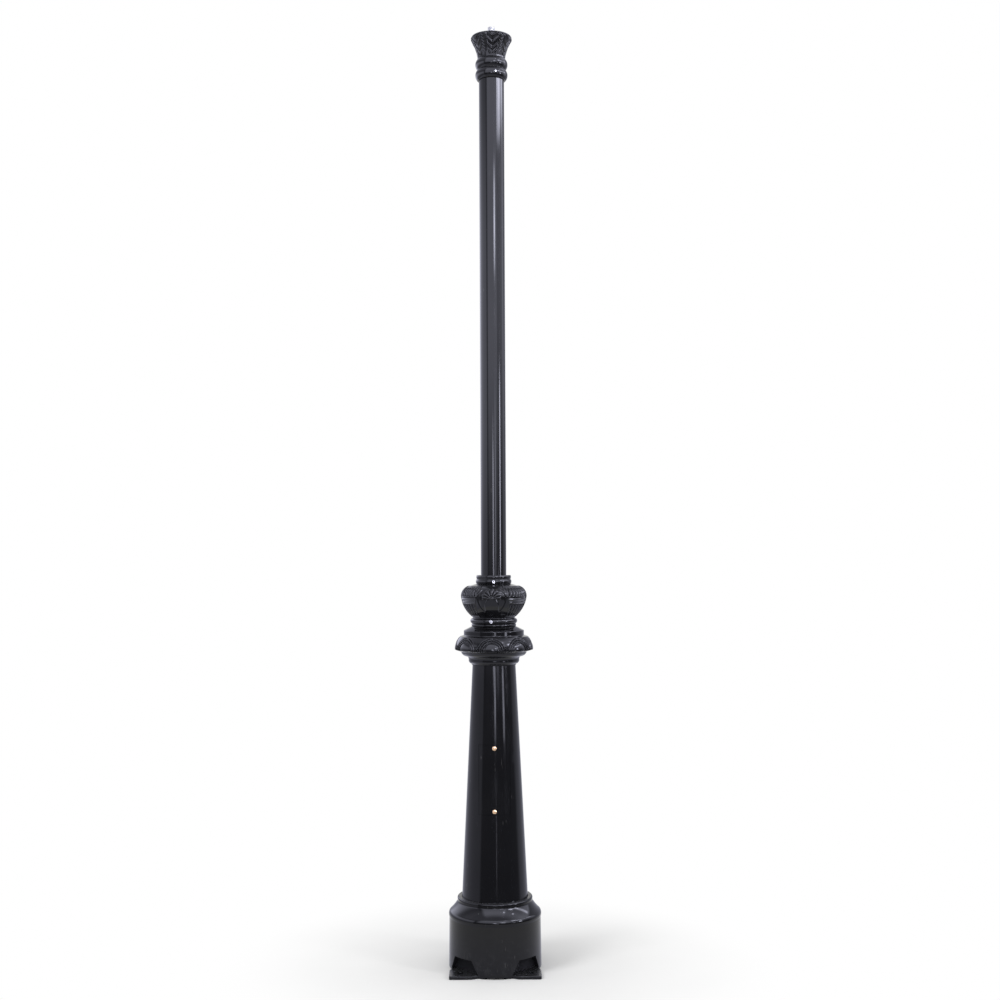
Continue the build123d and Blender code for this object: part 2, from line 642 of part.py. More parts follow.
def lower_capital():
    """Leafed collar over the column's top, hollow, with a ledge that seats on the column."""
    bore = TUBE_R + TURN_GAP
    skirt = column_r(CAPITAL_FOOT) + SOCKET_GAP
    ring_end = (CAPITAL_RING_TOP_R, CAPITAL_FOOT + CAPITAL_RING_HEIGHT)
    ring_foot = (SKIRT_EDGE_R, CAPITAL_FOOT + SKIRT_LAND)
    hollow_end = (HOLLOW_R, HOLLOW_TOP)
    bowl_foot = (BOWL_FOOT_R, HOLLOW_TOP)
    bowl_end = (BOWL_R, BOWL_TOP)
    wall = CAPITAL_WALL
    return turned(
        (SKIRT_EDGE_R, CAPITAL_FOOT),
        ring_foot,
        (bulged(ring_foot, ring_end, CAPITAL_RING_BULGE), ring_end),
        (bulged(ring_end, hollow_end, -HOLLOW_SAG), hollow_end),
        bowl_foot,
        (bulged(bowl_foot, bowl_end, BOWL_BULGE), bowl_end),
        (LEAF_R, LEAF_FOOT),
        ((LEAF_BULGE_R, LEAF_FOOT + 0.6 * LEAF_HEIGHT), (LEAF_TOP_R, LEAF_TOP)),
        (PLATE_R, PLATE_FOOT),
        (PLATE_R, PLATE_TOP),
        (CAPITAL_TOP_R, SLOPE_TOP),
        (CAPITAL_TOP_R, BOSS_FOOT),
        (bore, BOSS_FOOT),
        (bore, BOSS_FOOT - wall),
        (CAPITAL_TOP_R, SLOPE_TOP - wall),
        (PLATE_R - wall, PLATE_FOOT),
        (LEAF_TOP_R - wall, LEAF_TOP - wall),
        (LEAF_TOP_R - wall, LEAF_FOOT + wall),
        (BOWL_R - wall, BOWL_TOP),
        (CAPITAL_RING_TOP_R - wall, HOLLOW_TOP),
        (CAPITAL_LEDGE_R, COLUMN_TOP + CAPITAL_LEDGE_THICK),
        (CAPITAL_LEDGE_R, COLUMN_TOP),
        (skirt, COLUMN_TOP),
        (skirt, CAPITAL_FOOT),
    )


def boss_screw_heights():
    """Heights of the lower and upper screw rows in the boss."""
    return (RING_FOOT + RING_TOP) / 2, (COLLAR_LOW_FOOT + COLLAR_LOW_TOP) / 2


def column_boss():
    """Hollow bulb between a ring below and a pair of collars above, bored for the tube."""
    bore = TUBE_R + TURN_GAP
    waist = (BOSS_WAIST_R, WAIST_TOP)
    belly = (BELLY_R, BELLY)
    shoulder = (SHOULDER_R, SHOULDER)
    hub_top = BOSS_FOOT + BOSS_HUB
    wall = BOSS_WALL
    body = turned(
        (BOSS_FOOT_R, BOSS_FOOT),
        (BOSS_FOOT_R, RING_FOOT),
        ((BOSS_RING_R, (RING_FOOT + RING_TOP) / 2), (BOSS_WAIST_R, RING_TOP)),
        waist,
        (bulged(waist, belly, BELLY_BULGE), belly),
        (bulged(belly, shoulder, SHOULDER_BULGE), shoulder),
        (BOSS_NECK_R, BOSS_NECK),
        (BOSS_NECK_R, COLLAR_LOW_FOOT),
        (COLLAR_LOW_R - COLLAR_ROUND, COLLAR_LOW_FOOT),
        ((COLLAR_LOW_R, (COLLAR_LOW_FOOT + COLLAR_LOW_TOP) / 2), (COLLAR_LOW_R - COLLAR_ROUND, COLLAR_LOW_TOP)),
        (COLLAR_HIGH_R - COLLAR_GROOVE, COLLAR_LOW_TOP),
        (COLLAR_HIGH_R - COLLAR_GROOVE, COLLAR_HIGH_FOOT),
        (COLLAR_HIGH_R - COLLAR_ROUND, COLLAR_HIGH_FOOT),
        ((COLLAR_HIGH_R, (COLLAR_HIGH_FOOT + BOSS_TOP) / 2), (COLLAR_HIGH_R - COLLAR_ROUND, BOSS_TOP)),
        (bore, BOSS_TOP),
        (bore, SHOULDER - wall),
        (SHOULDER_R - wall, SHOULDER - wall),
        (BELLY_R - wall, BELLY),
        (BOSS_WAIST_R - wall, hub_top + wall),
        (bore, hub_top),
        (bore, BOSS_FOOT),
    )
    low, high = boss_screw_heights()
    body -= radial_holes(BOSS_LOWER_SCREW_R, BELLY_R, BOSS_LOWER_SCREW_ANGLE, low)
    body -= radial_holes(BOSS_UPPER_SCREW_R, BELLY_R, BOSS_UPPER_SCREW_ANGLE, high)
    return body


def boss_screws_lower():
    """Screws in the boss's lower ring that lock the tube."""
    height = boss_screw_heights()[0]
    end = BOSS_RING_R + SCREW_STANDS_OUT
    return radial_screws(BOSS_LOWER_SCREW_R, TUBE_R + TURN_GAP, end, BOSS_LOWER_SCREW_ANGLE, height)


def boss_screws_upper():
    """Screws in the boss's lower collar that lock the tube."""
    height = boss_screw_heights()[1]
    end = COLLAR_LOW_R + SCREW_STANDS_OUT
    return radial_screws(BOSS_UPPER_SCREW_R, TUBE_R + TURN_GAP, end, BOSS_UPPER_SCREW_ANGLE, height)


def mast_tube():
    """Plain tube from inside the column to the top capital."""
    return ring(TUBE_R - TUBE_WALL, TUBE_R, TUBE_END, TUBE_TOP)


def collar_screw_height():
    """Height of the screws in the mast collar."""
    return COLUMN_TOP + MAST_COLLAR_HEIGHT / 2


def mast_collar():
    """Ring on the tube that stands on the column's top and carries the mast."""
    body = ring(TUBE_R + SOCKET_GAP, MAST_COLLAR_R, COLUMN_TOP, COLUMN_TOP + MAST_COLLAR_HEIGHT)
    body -= radial_holes(COLLAR_SCREW_R, MAST_COLLAR_R + OVERLAP, COLLAR_SCREW_ANGLE, collar_screw_height())
    return body


def collar_screws():
    """Grub screws that lock the mast collar on the tube."""
    start = TUBE_R + SOCKET_GAP
    return radial_screws(COLLAR_SCREW_R, start, MAST_COLLAR_R, COLLAR_SCREW_ANGLE, collar_screw_height())


def tube_grommet():
    """Rubber bush in the tube's lower end, with a flange under the cut edge."""
    outer = TUBE_R - TUBE_WALL - SOCKET_GAP
    inner = outer - GROMMET_WALL
    return turned(
        (inner, TUBE_END - GROMMET_FLANGE),
        (TUBE_R, TUBE_END - GROMMET_FLANGE),
        (TUBE_R, TUBE_END),
        (outer, TUBE_END),
        (outer, TUBE_END + GROMMET_SLEEVE),
        (inner, TUBE_END + GROMMET_SLEEVE),
    )


def capital_screw_height():
    """Height of the screws in the top capital's lower ring."""
    return TOP_FOOT + TOP_RING_HEIGHT / 2


def top_capital():
    """Two rings and a flared bell with a flat top, socketed on the tube."""
    socket = TUBE_R + SOCKET_GAP
    ring_top = TOP_FOOT + TOP_RING_HEIGHT
    rings_top = ring_top + TOP_RING_HEIGHT
    hole = NIPPLE_TAIL_R + SCREW_GAP
    mouth = NIPPLE_R + NIPPLE_SEAT_GAP
    body = turned(
        (TOP_NECK_R, TOP_FOOT),
        ((TOP_RING_R, capital_screw_height()), (TOP_NECK_R, ring_top)),
        ((TOP_RING_R, ring_top + TOP_RING_HEIGHT / 2), (TOP_NECK_R, rings_top)),
        (TOP_NECK_R, BELL_FOOT),
        ((BELL_MIDDLE_R, BELL_FOOT + BELL_MIDDLE_HEIGHT), (BELL_R, BELL_TOP)),
        ((RIM_R, BELL_TOP + RIM_MIDDLE), (TOP_FLAT_R, TOP_FLAT)),
        (mouth, TOP_FLAT),
        (hole, TOP_FLAT - mouth + hole),
        (hole, TOP_PLATE_UNDERSIDE),
        (TOP_SEAT_R, TOP_PLATE_UNDERSIDE),
        (TOP_SEAT_R, TUBE_TOP),
        (socket, TUBE_TOP),
        (socket, TOP_FOOT),
    )
    reach = TOP_RING_R + OVERLAP
    return body - radial_holes(CAPITAL_SCREW_R, reach, CAPITAL_SCREW_ANGLE, capital_screw_height())


def capital_screws():
    """Grub screws that lock the top capital on the tube."""
    start = TUBE_R + SOCKET_GAP
    return radial_screws(CAPITAL_SCREW_R, start, TOP_RING_R, CAPITAL_SCREW_ANGLE, capital_screw_height())


def lamp_nipple():
    """Hollow stub with a cone seat through the capital's top, for the lantern."""
    bottom = TOP_PLATE_UNDERSIDE - NIPPLE_BELOW_PLATE
    top = TOP_FLAT + NIPPLE_STANDS_OUT
    return turned(
        (NIPPLE_BORE_R, bottom),
        (NIPPLE_TAIL_R, bottom),
        (NIPPLE_TAIL_R, TOP_FLAT - NIPPLE_R + NIPPLE_TAIL_R),
        (NIPPLE_R, TOP_FLAT),
        (NIPPLE_R, top - NIPPLE_CHAMFER),
        (NIPPLE_R - NIPPLE_CHAMFER, top),
        (NIPPLE_BORE_R, top),
    )


def nipple_washer():
    """Washer under the capital's top plate."""
    bottom = TOP_PLATE_UNDERSIDE - NIPPLE_WASHER_THICK
    return ring(NIPPLE_TAIL_R + SCREW_GAP, NIPPLE_WASHER_R, bottom, TOP_PLATE_UNDERSIDE)


def nipple_nut():
    """Lock nut on the nipple, under its washer."""
    bottom = TOP_PLATE_UNDERSIDE - NIPPLE_WASHER_THICK - NIPPLE_NUT_HEIGHT
    nut = hexagon(NIPPLE_NUT_FLAT, NIPPLE_NUT_HEIGHT)
    nut -= Cylinder(NIPPLE_TAIL_R + SCREW_GAP, NIPPLE_NUT_HEIGHT, align=BASE)
    return Pos(0, 0, bottom) * nut


PIECES = [
    base_casting, column_bolts, column_bolt_washers, tapered_column,
    access_door, door_gasket,
    backboard, backboard_screws, terminal_block, terminal_screws, block_screws,
    earth_stud, earth_washer, earth_nut,
    lower_capital, column_boss, boss_screws_lower, boss_screws_upper,
    mast_tube, mast_collar, collar_screws, tube_grommet,
    top_capital, capital_screws, lamp_nipple, nipple_washer, nipple_nut,
]

os.makedirs("parts", exist_ok=True)
for piece in PIECES:
    export_step(piece(), f"parts/{piece.__name__}.step")
for row, height in SCREW_HEIGHTS.items():
    export_step(door_screw(height), f"parts/door_screw_{row}.step")
    export_step(screw_retainer(height), f"parts/screw_retainer_{row}.step")
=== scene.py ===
"""Dressed model of an ornamental lamp post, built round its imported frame.

Lengths inside the classes are millimetres, as on the part, and become metres when a mesh is made.
Angles round the post are degrees from the front, which is the door's side, towards +X.
"""

import logging
import math
from dataclasses import dataclass, field
from enum import Enum
from typing import Callable, ClassVar

import bpy
import numpy as np
from mathutils import Matrix, Vector


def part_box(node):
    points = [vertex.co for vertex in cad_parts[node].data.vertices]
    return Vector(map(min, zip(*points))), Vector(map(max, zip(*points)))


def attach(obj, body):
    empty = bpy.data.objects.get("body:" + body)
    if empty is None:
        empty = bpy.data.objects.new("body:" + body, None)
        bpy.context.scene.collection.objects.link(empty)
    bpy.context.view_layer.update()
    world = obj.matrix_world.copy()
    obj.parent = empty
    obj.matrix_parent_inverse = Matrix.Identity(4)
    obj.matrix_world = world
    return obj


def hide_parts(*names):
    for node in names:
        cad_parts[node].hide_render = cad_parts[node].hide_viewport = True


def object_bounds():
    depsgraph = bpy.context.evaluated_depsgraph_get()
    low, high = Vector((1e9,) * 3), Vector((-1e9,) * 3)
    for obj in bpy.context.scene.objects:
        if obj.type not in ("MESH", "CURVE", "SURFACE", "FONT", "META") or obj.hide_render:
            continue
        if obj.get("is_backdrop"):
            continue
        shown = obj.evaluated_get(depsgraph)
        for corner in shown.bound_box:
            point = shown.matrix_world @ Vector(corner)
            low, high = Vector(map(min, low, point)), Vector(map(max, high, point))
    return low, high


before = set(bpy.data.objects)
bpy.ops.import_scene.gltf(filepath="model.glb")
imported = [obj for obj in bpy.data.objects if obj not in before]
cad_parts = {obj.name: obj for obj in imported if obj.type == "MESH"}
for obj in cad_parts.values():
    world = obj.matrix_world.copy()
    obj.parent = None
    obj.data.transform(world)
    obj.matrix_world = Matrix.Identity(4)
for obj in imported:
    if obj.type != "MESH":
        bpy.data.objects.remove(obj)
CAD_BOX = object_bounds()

log = logging.getLogger("lamp_post")

MM = 0.001
POST_BODY = "post"
MAST_BODY = "mast"
Point = tuple[float, float]
Zone = tuple[float, float, float, float]
Colour = tuple[float, float, float, float]
Relief = Callable[[np.ndarray, np.ndarray, np.ndarray], np.ndarray]
Socket = bpy.types.NodeSocket
Node = bpy.types.Node
Material = bpy.types.Material
Object = bpy.types.Object
Mesh = bpy.types.Mesh


class Slot(Enum):
    """Material slots of the record."""

    PAINT = "black_paint"
    ZINC = "zinc"
    STAINLESS = "stainless"
    BRASS = "brass"
    NYLON = "nylon"
    BOARD = "board"
    RUBBER = "rubber"


# Shader graphs

COLOUR_MIX_INPUTS = (0, 6, 7)
COLOUR_MIX_OUTPUT = 2


class Graph:
    """A node tree with short calls to add and join its nodes."""

    def __init__(self, tree: bpy.types.NodeTree) -> None:
        """Start from an empty tree."""
        self.tree = tree
        self.tree.nodes.clear()

    def add(self, kind: str, **settings: object) -> Node:
        """Add a node.

        Args:
            kind: the node's type name.
            settings: attributes to set on it.

        Returns:
            The new node.
        """
        node = self.tree.nodes.new(kind)
        for name, value in settings.items():
            setattr(node, name, value)
        return node

    def join(self, value: object, socket: Socket) -> None:
        """Link a socket to an input, or set a constant on it."""
        if isinstance(value, Socket):
            self.tree.links.new(value, socket)
        else:
            socket.default_value = value

    def feed(self, node: Node, **values: object) -> Node:
        """Set or link inputs of a node by name, with underscores for spaces.

        Args:
            node: the node to feed.
            values: a socket to link, or a constant, for each input.

        Returns:
            The same node.
        """
        for name, value in values.items():
            self.join(value, node.inputs[name.replace("_", " ")])
        return node

    def math(self, operation: str, *values: object) -> Socket:
        """Add a Math node over sockets or constants and return its result."""
        node = self.add("ShaderNodeMath", operation=operation)
        for socket, value in zip(node.inputs, values):
            self.join(value, socket)
        return node.outputs[0]

    def times(self, *values: object) -> Socket:
        """Multiply two sockets or constants and return the product."""
        return self.math("MULTIPLY", *values)

    def here(self) -> Socket:
        """Add coordinates on the piece itself and return them."""
        return self.add("ShaderNodeTexCoord").outputs["Object"]

    def axes(self, vector: Socket) -> dict[str, Socket]:
        """Split a vector and return its parts by axis."""
        node = self.feed(self.add("ShaderNodeSeparateXYZ"), Vector=vector)
        return {part.name: part for part in node.outputs}

    def stored(self, name: str) -> Socket:
        """Add an attribute of the mesh and return its value."""
        return self.add("ShaderNodeAttribute", attribute_name=name).outputs["Fac"]

    def span(self, value: Socket, low: float, high: float,
             start: float = 0.0, end: float = 1.0) -> Socket:
        """Map a value smoothly from low..high to start..end and return the result."""
        node = self.add("ShaderNodeMapRange", interpolation_type="SMOOTHSTEP")
        self.feed(node, Value=value, From_Min=low, From_Max=high, To_Min=start, To_Max=end)
        return node.outputs[0]

    def noise(self, where: Socket, scale: object, detail: float = 3.0,
              roughness: float = 0.5) -> Socket:
        """Add a noise texture and return its value."""
        node = self.add("ShaderNodeTexNoise")
        self.feed(node, Vector=where, Scale=scale, Detail=detail, Roughness=roughness)
        return node.outputs["Fac"]

    def blend(self, share: object, first: object, second: object) -> Socket:
        """Mix two colours and return the result."""
        node = self.add("ShaderNodeMix", data_type="RGBA")
        for place, value in zip(COLOUR_MIX_INPUTS, (share, first, second)):
            self.join(value, node.inputs[place])
        return node.outputs[COLOUR_MIX_OUTPUT]

    def stretched(self, where: Socket, scale: tuple[float, float, float]) -> Socket:
        """Scale coordinates along each axis and return them."""
        node = self.add("ShaderNodeMapping")
        self.feed(node, Vector=where, Scale=scale)
        return node.outputs[0]

    def bump(self, height: Socket, strength: float, distance: float) -> Socket:
        """Add a Bump node and return its normal."""
        node = self.add("ShaderNodeBump")
        self.feed(node, Height=height, Strength=strength, Distance=distance)
        return node.outputs[0]

    def shown(self) -> Socket:
        """Return 1 for rays that show the background, straight, mirrored or through glass."""
        paths = self.add("ShaderNodeLightPath").outputs
        clear = self.math("MAXIMUM", paths["Is Camera Ray"], paths["Is Transmission Ray"])
        return self.math("MAXIMUM", clear, paths["Is Glossy Ray"])

    def mixed(self, share: Socket, first: Node, second: Node) -> Node:
        """Mix two shaders and return the mixing node."""
        mix = self.add("ShaderNodeMixShader")
        for value, socket in zip((share, first.outputs[0], second.outputs[0]), mix.inputs):
            self.join(value, socket)
        return mix

    def surface(self, shader: Node, output: str = "ShaderNodeOutputMaterial") -> None:
        """End the graph with a shader on the surface of a new output node."""
        self.join(shader.outputs[0], self.add(output).inputs["Surface"])


def socketed_group(name: str, inputs: dict[str, float], outputs: list[str]) -> tuple[Graph, dict, dict]:
    """Make an empty shader node group of values.

    Args:
        name: the group's name.
        inputs: default value of each input.
        outputs: name of each output.

    Returns:
        The group's graph, its input sockets by name and its output sockets by name.
    """
    tree = bpy.data.node_groups.new(name, "ShaderNodeTree")
    for title, value in inputs.items():
        socket = tree.interface.new_socket(title, in_out="INPUT", socket_type="NodeSocketFloat")
        socket.default_value = value
    for title in outputs:
        tree.interface.new_socket(title, in_out="OUTPUT", socket_type="NodeSocketFloat")
    graph = Graph(tree)
    entry = graph.add("NodeGroupInput")
    leave = graph.add("NodeGroupOutput")
    return graph, {s.name: s for s in entry.outputs}, {s.name: s for s in leave.inputs}


def cast_skin_group() -> bpy.types.NodeTree:
    """Group for a coated casting: slow waviness, orange peel and tone.

    Returns:
        The group, with Height, Tone and Sheen outputs.
    """
    inputs = {"Wave Scale": 14.0, "Peel Scale": 420.0, "Peel Share": 0.3}
    graph, given, out = socketed_group("cast_skin", inputs, ["Height", "Tone", "Sheen"])
    where = graph.here()
    wave = graph.noise(where, given["Wave Scale"], 2.0)
    peel = graph.noise(where, given["Peel Scale"], 2.0, 0.4)
    peel_part = graph.times(peel, given["Peel Share"])
    graph.join(graph.math("ADD", wave, peel_part), out["Height"])
    cloud = graph.noise(where, 5.0, 4.0, 0.6)
    graph.join(graph.span(cloud, 0.32, 0.7), out["Tone"])
    smear = graph.noise(graph.stretched(where, (1.0, 1.0, 0.25)), 32.0, 4.0, 0.6)
    graph.join(graph.span(smear, 0.35, 0.72), out["Sheen"])
    return graph.tree


def grime_group() -> bpy.types.NodeTree:
    """Group for what settles on the post: dust in hollows, on level tops and low down, and fine scuffs.

    Returns:
        The group, with Dust and Scuff outputs.
    """
    inputs = {"Hollow": 0.0, "Level": 1.0, "Dust": 0.5, "Scuffs": 0.5, "Ground Height": 0.16}
    graph, given, out = socketed_group("grime", inputs, ["Dust", "Scuff"])
    where = graph.here()
    low = graph.math("DIVIDE", graph.axes(where)["Z"], given["Ground Height"])
    splash = graph.math("SUBTRACT", 1.0, graph.span(low, 0.0, 1.0))
    patch = graph.span(graph.noise(where, 60.0, 5.0, 0.65), 0.42, 0.75)
    settled = graph.math("MAXIMUM", graph.times(splash, 0.6), given["Hollow"])
    facing = graph.axes(graph.add("ShaderNodeNewGeometry").outputs["Normal"])
    level = graph.times(graph.span(facing["Z"], 0.85, 0.98), given["Level"])
    dust = graph.math("MAXIMUM", graph.times(settled, patch), level)
    graph.join(graph.times(dust, given["Dust"]), out["Dust"])
    slant = graph.stretched(where, (260.0, 260.0, 34.0))
    thin = graph.span(graph.noise(slant, 1.0, 1.0), 0.70, 0.76)
    where_worn = graph.span(graph.noise(where, 11.0, 2.0), 0.52, 0.66)
    scuff = graph.times(graph.times(thin, where_worn), given["Scuffs"])
    graph.join(scuff, out["Scuff"])
    return graph.tree


def brushed_group() -> bpy.types.NodeTree:
    """Group for bare metal: fine turning lines, blotches and tarnish.

    Returns:
        The group, with Height, Tone and Tarnish outputs.
    """
    inputs = {"Line Scale": 900.0, "Blotch Scale": 160.0}
    graph, given, out = socketed_group("brushed", inputs, ["Height", "Tone", "Tarnish"])
    where = graph.here()
    lines = graph.noise(graph.stretched(where, (1.0, 1.0, 6.0)), given["Line Scale"], 2.0)
    blotch = graph.noise(where, given["Blotch Scale"], 4.0, 0.6)
    graph.join(lines, out["Height"])
    graph.join(graph.span(lines, 0.3, 0.7), out["Tone"])
    graph.join(graph.span(blotch, 0.42, 0.72), out["Tarnish"])
    return graph.tree


def soft_box_group() -> bpy.types.NodeTree:
    """Group for a soft box on the studio's wall: a patch of headings and climbs with soft ends.

    Returns:
        The group, with a Glow output.
    """
    ways = (("Heading", "Left", "Right", "Soft Side"), ("Climb", "Low", "High", "Soft End"))
    inputs = {name: 0.0 for way in (*ways, ("Level",)) for name in way}
    graph, given, out = socketed_group("soft_box", inputs, ["Glow"])
    glow = given["Level"]
    for place, first, last, soft in ways:
        for edge, way in ((first, 1.0), (last, -1.0)):
            inside = graph.times(graph.math("SUBTRACT", given[place], given[edge]), way)
            share = graph.math("DIVIDE", inside, given[soft])
            glow = graph.times(glow, graph.span(share, -1.0, 1.0))
    graph.join(glow, out["Glow"])
    return graph.tree


GROUPS = {"cast_skin": cast_skin_group(), "grime": grime_group(), "brushed": brushed_group(),
          "soft_box": soft_box_group()}


def placed(graph: Graph, name: str, **values: object) -> Node:
    """Place a shared node group in a material with its own values."""
    return graph.feed(graph.add("ShaderNodeGroup", node_tree=GROUPS[name]), **values)


def blank_material(name: str) -> tuple[Material, Graph]:
    """Make a material and return it with its empty graph."""
    material = bpy.data.materials.new(name)
    material.use_nodes = True
    return material, Graph(material.node_tree)


def new_material(name: str) -> tuple[Material, Graph, Node]:
    """Make a material that holds one Principled shader.

    Args:
        name: the material's name.

    Returns:
        The material, its graph and its shader node.
    """
    material, graph = blank_material(name)
    shader = graph.add("ShaderNodeBsdfPrincipled")
    graph.surface(shader)
    return material, graph, shader


def rgba(red: float, green: float, blue: float) -> Colour:
    """An opaque colour in linear light."""
    return (red, green, blue, 1.0)


@dataclass(frozen=True)
class PaintFinish:
    """Black gloss paint over cast or drawn metal, with painted shade darkening bolt pockets and deep
    grooves.
    """

    name: str
    dark: Colour = rgba(0.0025, 0.0025, 0.0032)
    light: Colour = rgba(0.0042, 0.0042, 0.0052)
    dust_colour: Colour = rgba(0.036, 0.037, 0.040)
    scuff_colour: Colour = rgba(0.11, 0.11, 0.112)
    # painted shade: near-black colour standing in for the shade in pockets and deep grooves
    painted_shade_colour: Colour = rgba(0.002, 0.002, 0.0025)
    index: float = 1.4
    gloss: float = 0.07
    dull: float = 0.14
    wave_scale: float = 16.0
    peel_share: float = 0.22
    bump: float = 0.05
    dust: float = 0.5
    scuffs: float = 0.5
    # share of painted shade laid into the deepest grooves
    groove_shade: float = 0.0
    dust_roughness: float = 0.35
    # roughness where shade is painted, so these places lose their reflections
    painted_shade_roughness: float = 0.9
    bump_reach: float = 0.0015

    def build(self) -> Material:
        """Make the material."""
        material, graph, shader = new_material(self.name)
        skin = placed(graph, "cast_skin", Wave_Scale=self.wave_scale, Peel_Share=self.peel_share)
        hollow = graph.stored("hollow")
        grime = placed(graph, "grime", Hollow=hollow, Dust=self.dust, Scuffs=self.scuffs)
        coat = graph.blend(skin.outputs["Tone"], self.dark, self.light)
        dusty = graph.blend(grime.outputs["Dust"], coat, self.dust_colour)
        worn = graph.blend(grime.outputs["Scuff"], dusty, self.scuff_colour)
        spread = graph.span(skin.outputs["Sheen"], 0.0, 1.0, self.gloss, self.dull)
        rough = graph.math("ADD", spread, graph.times(grime.outputs["Dust"], self.dust_roughness))
        # Painted shade: the deepest grooves, and faces marked with the painted_shade attribute, are
        # darkened and dulled to stand in for the shade that falls in them.
        groove_shade_mask = graph.times(graph.span(hollow, 0.5, 0.95), self.groove_shade)
        painted_shade = graph.math("MAXIMUM", graph.stored("painted_shade"), groove_shade_mask)
        rough = graph.math("MAXIMUM", rough, graph.times(painted_shade, self.painted_shade_roughness))
        normal = graph.bump(skin.outputs["Height"], self.bump, self.bump_reach)
        colour = graph.blend(painted_shade, worn, self.painted_shade_colour)
        graph.feed(shader, Base_Color=colour, Roughness=rough, IOR=self.index, Normal=normal)
        return material


@dataclass(frozen=True)
class MetalFinish:
    """Bare metal of a screw, stub or nut."""

    name: str
    bright: Colour
    tarnish: Colour
    smooth: float
    rough: float
    line_scale: float = 900.0
    bump: float = 0.08
    bump_reach: float = 0.0004

    def build(self) -> Material:
        """Make the material."""
        material, graph, shader = new_material(self.name)
        lines = placed(graph, "brushed", Line_Scale=self.line_scale)
        tone = graph.blend(lines.outputs["Tarnish"], self.bright, self.tarnish)
        spread = graph.span(lines.outputs["Tone"], 0.0, 1.0, self.smooth, self.rough)
        normal = graph.bump(lines.outputs["Height"], self.bump, self.bump_reach)
        graph.feed(shader, Base_Color=tone, Roughness=spread, Metallic=1.0, Normal=normal)
        return material


@dataclass(frozen=True)
class MouldedFinish:
    """Rubber, nylon or resin board: matt, with a fine grain."""

    name: str
    dark: Colour
    light: Colour
    roughness: float
    grain: tuple[float, float, float] = (300.0, 300.0, 300.0)
    bump: float = 0.2
    bump_reach: float = 0.0005
    unevenness: float = 0.08

    def build(self) -> Material:
        """Make the material."""
        material, graph, shader = new_material(self.name)
        where = graph.here()
        grain = graph.noise(graph.stretched(where, self.grain), 1.0, 4.0, 0.6)
        tone = graph.blend(graph.span(grain, 0.3, 0.7), self.dark, self.light)
        low, high = self.roughness - self.unevenness, self.roughness + self.unevenness
        spread = graph.span(grain, 0.2, 0.8, low, high)
        normal = graph.bump(grain, self.bump, self.bump_reach)
        graph.feed(shader, Base_Color=tone, Roughness=spread, Normal=normal)
        return material


# Turned shapes with carved faces


def smooth(value: np.ndarray, low: float, high: float) -> np.ndarray:
    """Rise from 0 at low to 1 at high, with soft ends."""
    share = np.clip((value - low) / (high - low), 0.0, 1.0)
    return share * share * (3.0 - 2.0 * share)


def band(value: np.ndarray, zone: Zone) -> np.ndarray:
    """Rise from 0 to 1 over a zone's first two levels and fall back over its last two."""
    return smooth(value, *zone[:2]) * (1.0 - smooth(value, *zone[2:]))


def hump(value: np.ndarray, centre: float, half: float) -> np.ndarray:
    """A soft ridge of height 1 at a centre, gone at a half width."""
    return 0.5 + 0.5 * np.cos(math.pi * np.clip(np.abs(value - centre) / half, 0.0, 1.0))


def around(angle: np.ndarray, phase: float, period: float) -> np.ndarray:
    """Angle from the nearest repeat of a pattern."""
    return (angle - phase + period / 2) % period - period / 2


@dataclass
class Outline:
    """A chain of lines and arcs in the half plane of radius and height."""

    points: list[Point] = field(default_factory=list)

    def line(self, *ends: Point) -> "Outline":
        """Go on in straight runs to each end."""
        self.points.extend(ends)
        return self

    def arc(self, via: Point, end: Point, steps: int = 24) -> "Outline":
        """Go on along the circle through a middle point to an end."""
        a, b, c = (np.array(p, float) for p in (self.points[-1], via, end))
        sides = np.array([b - a, c - a])
        middle = a + np.linalg.solve(sides, (sides ** 2).sum(1) / 2)
        turns = [math.atan2(*(p - middle)[::-1]) for p in (a, b, c)]
        sweep = (turns[2] - turns[0]) % math.tau
        if (turns[1] - turns[0]) % math.tau > sweep:
            sweep -= math.tau
        radius = math.dist(a, middle)
        for step in range(1, steps + 1):
            turn = turns[0] + sweep * step / steps
            self.points.append((middle[0] + radius * math.cos(turn), middle[1] + radius * math.sin(turn)))
        return self

    def bow(self, end: Point, bulge: float) -> "Outline":
        """Go on along an arc that stands out from its chord, or sinks where the bulge is negative."""
        a, b = np.array(self.points[-1], float), np.array(end, float)
        along = (b - a) / np.linalg.norm(b - a)
        via = (a + b) / 2 + bulge * np.array([along[1], -along[0]])
        return self.arc((via[0], via[1]), end)

    def sampled(self, spacing: float, soften: float = 0.0) -> np.ndarray:
        """Points at an even spacing along the chain.

        Args:
            spacing: distance between points.
            soften: radius over which corners are eased.

        Returns:
            An array of radius and height.
        """
        chain = np.array(self.points, float)
        run = np.concatenate([[0.0], np.cumsum(np.hypot(*np.diff(chain, axis=0).T))])
        count = max(2, round(run[-1] / spacing) + 1)
        stops = np.linspace(0.0, run[-1], count)
        even = np.stack([np.interp(stops, run, chain[:, axis]) for axis in (0, 1)], axis=1)
        if soften:
            reach = max(1, math.ceil(2.5 * soften / spacing))
            weight = np.exp(-0.5 * (np.arange(-reach, reach + 1) * spacing / soften) ** 2)
            weight /= weight.sum()
            padded = np.pad(even, ((reach, reach), (0, 0)), mode="reflect", reflect_type="odd")
            even = np.stack([np.convolve(padded[:, axis], weight, "valid") for axis in (0, 1)], axis=1)
        return even


def linked(name: str, data: bpy.types.ID) -> Object:
    """Put a mesh, a camera or a lamp in the scene as an object."""
    obj = bpy.data.objects.new(name, data)
    bpy.context.scene.collection.objects.link(obj)
    return obj


def soft_shaded(mesh: Mesh, crease: float) -> None:
    """Shade a mesh smooth, with hard edges over an angle in degrees."""
    mesh.shade_smooth()
    mesh.set_sharp_from_angle(angle=math.radians(crease))


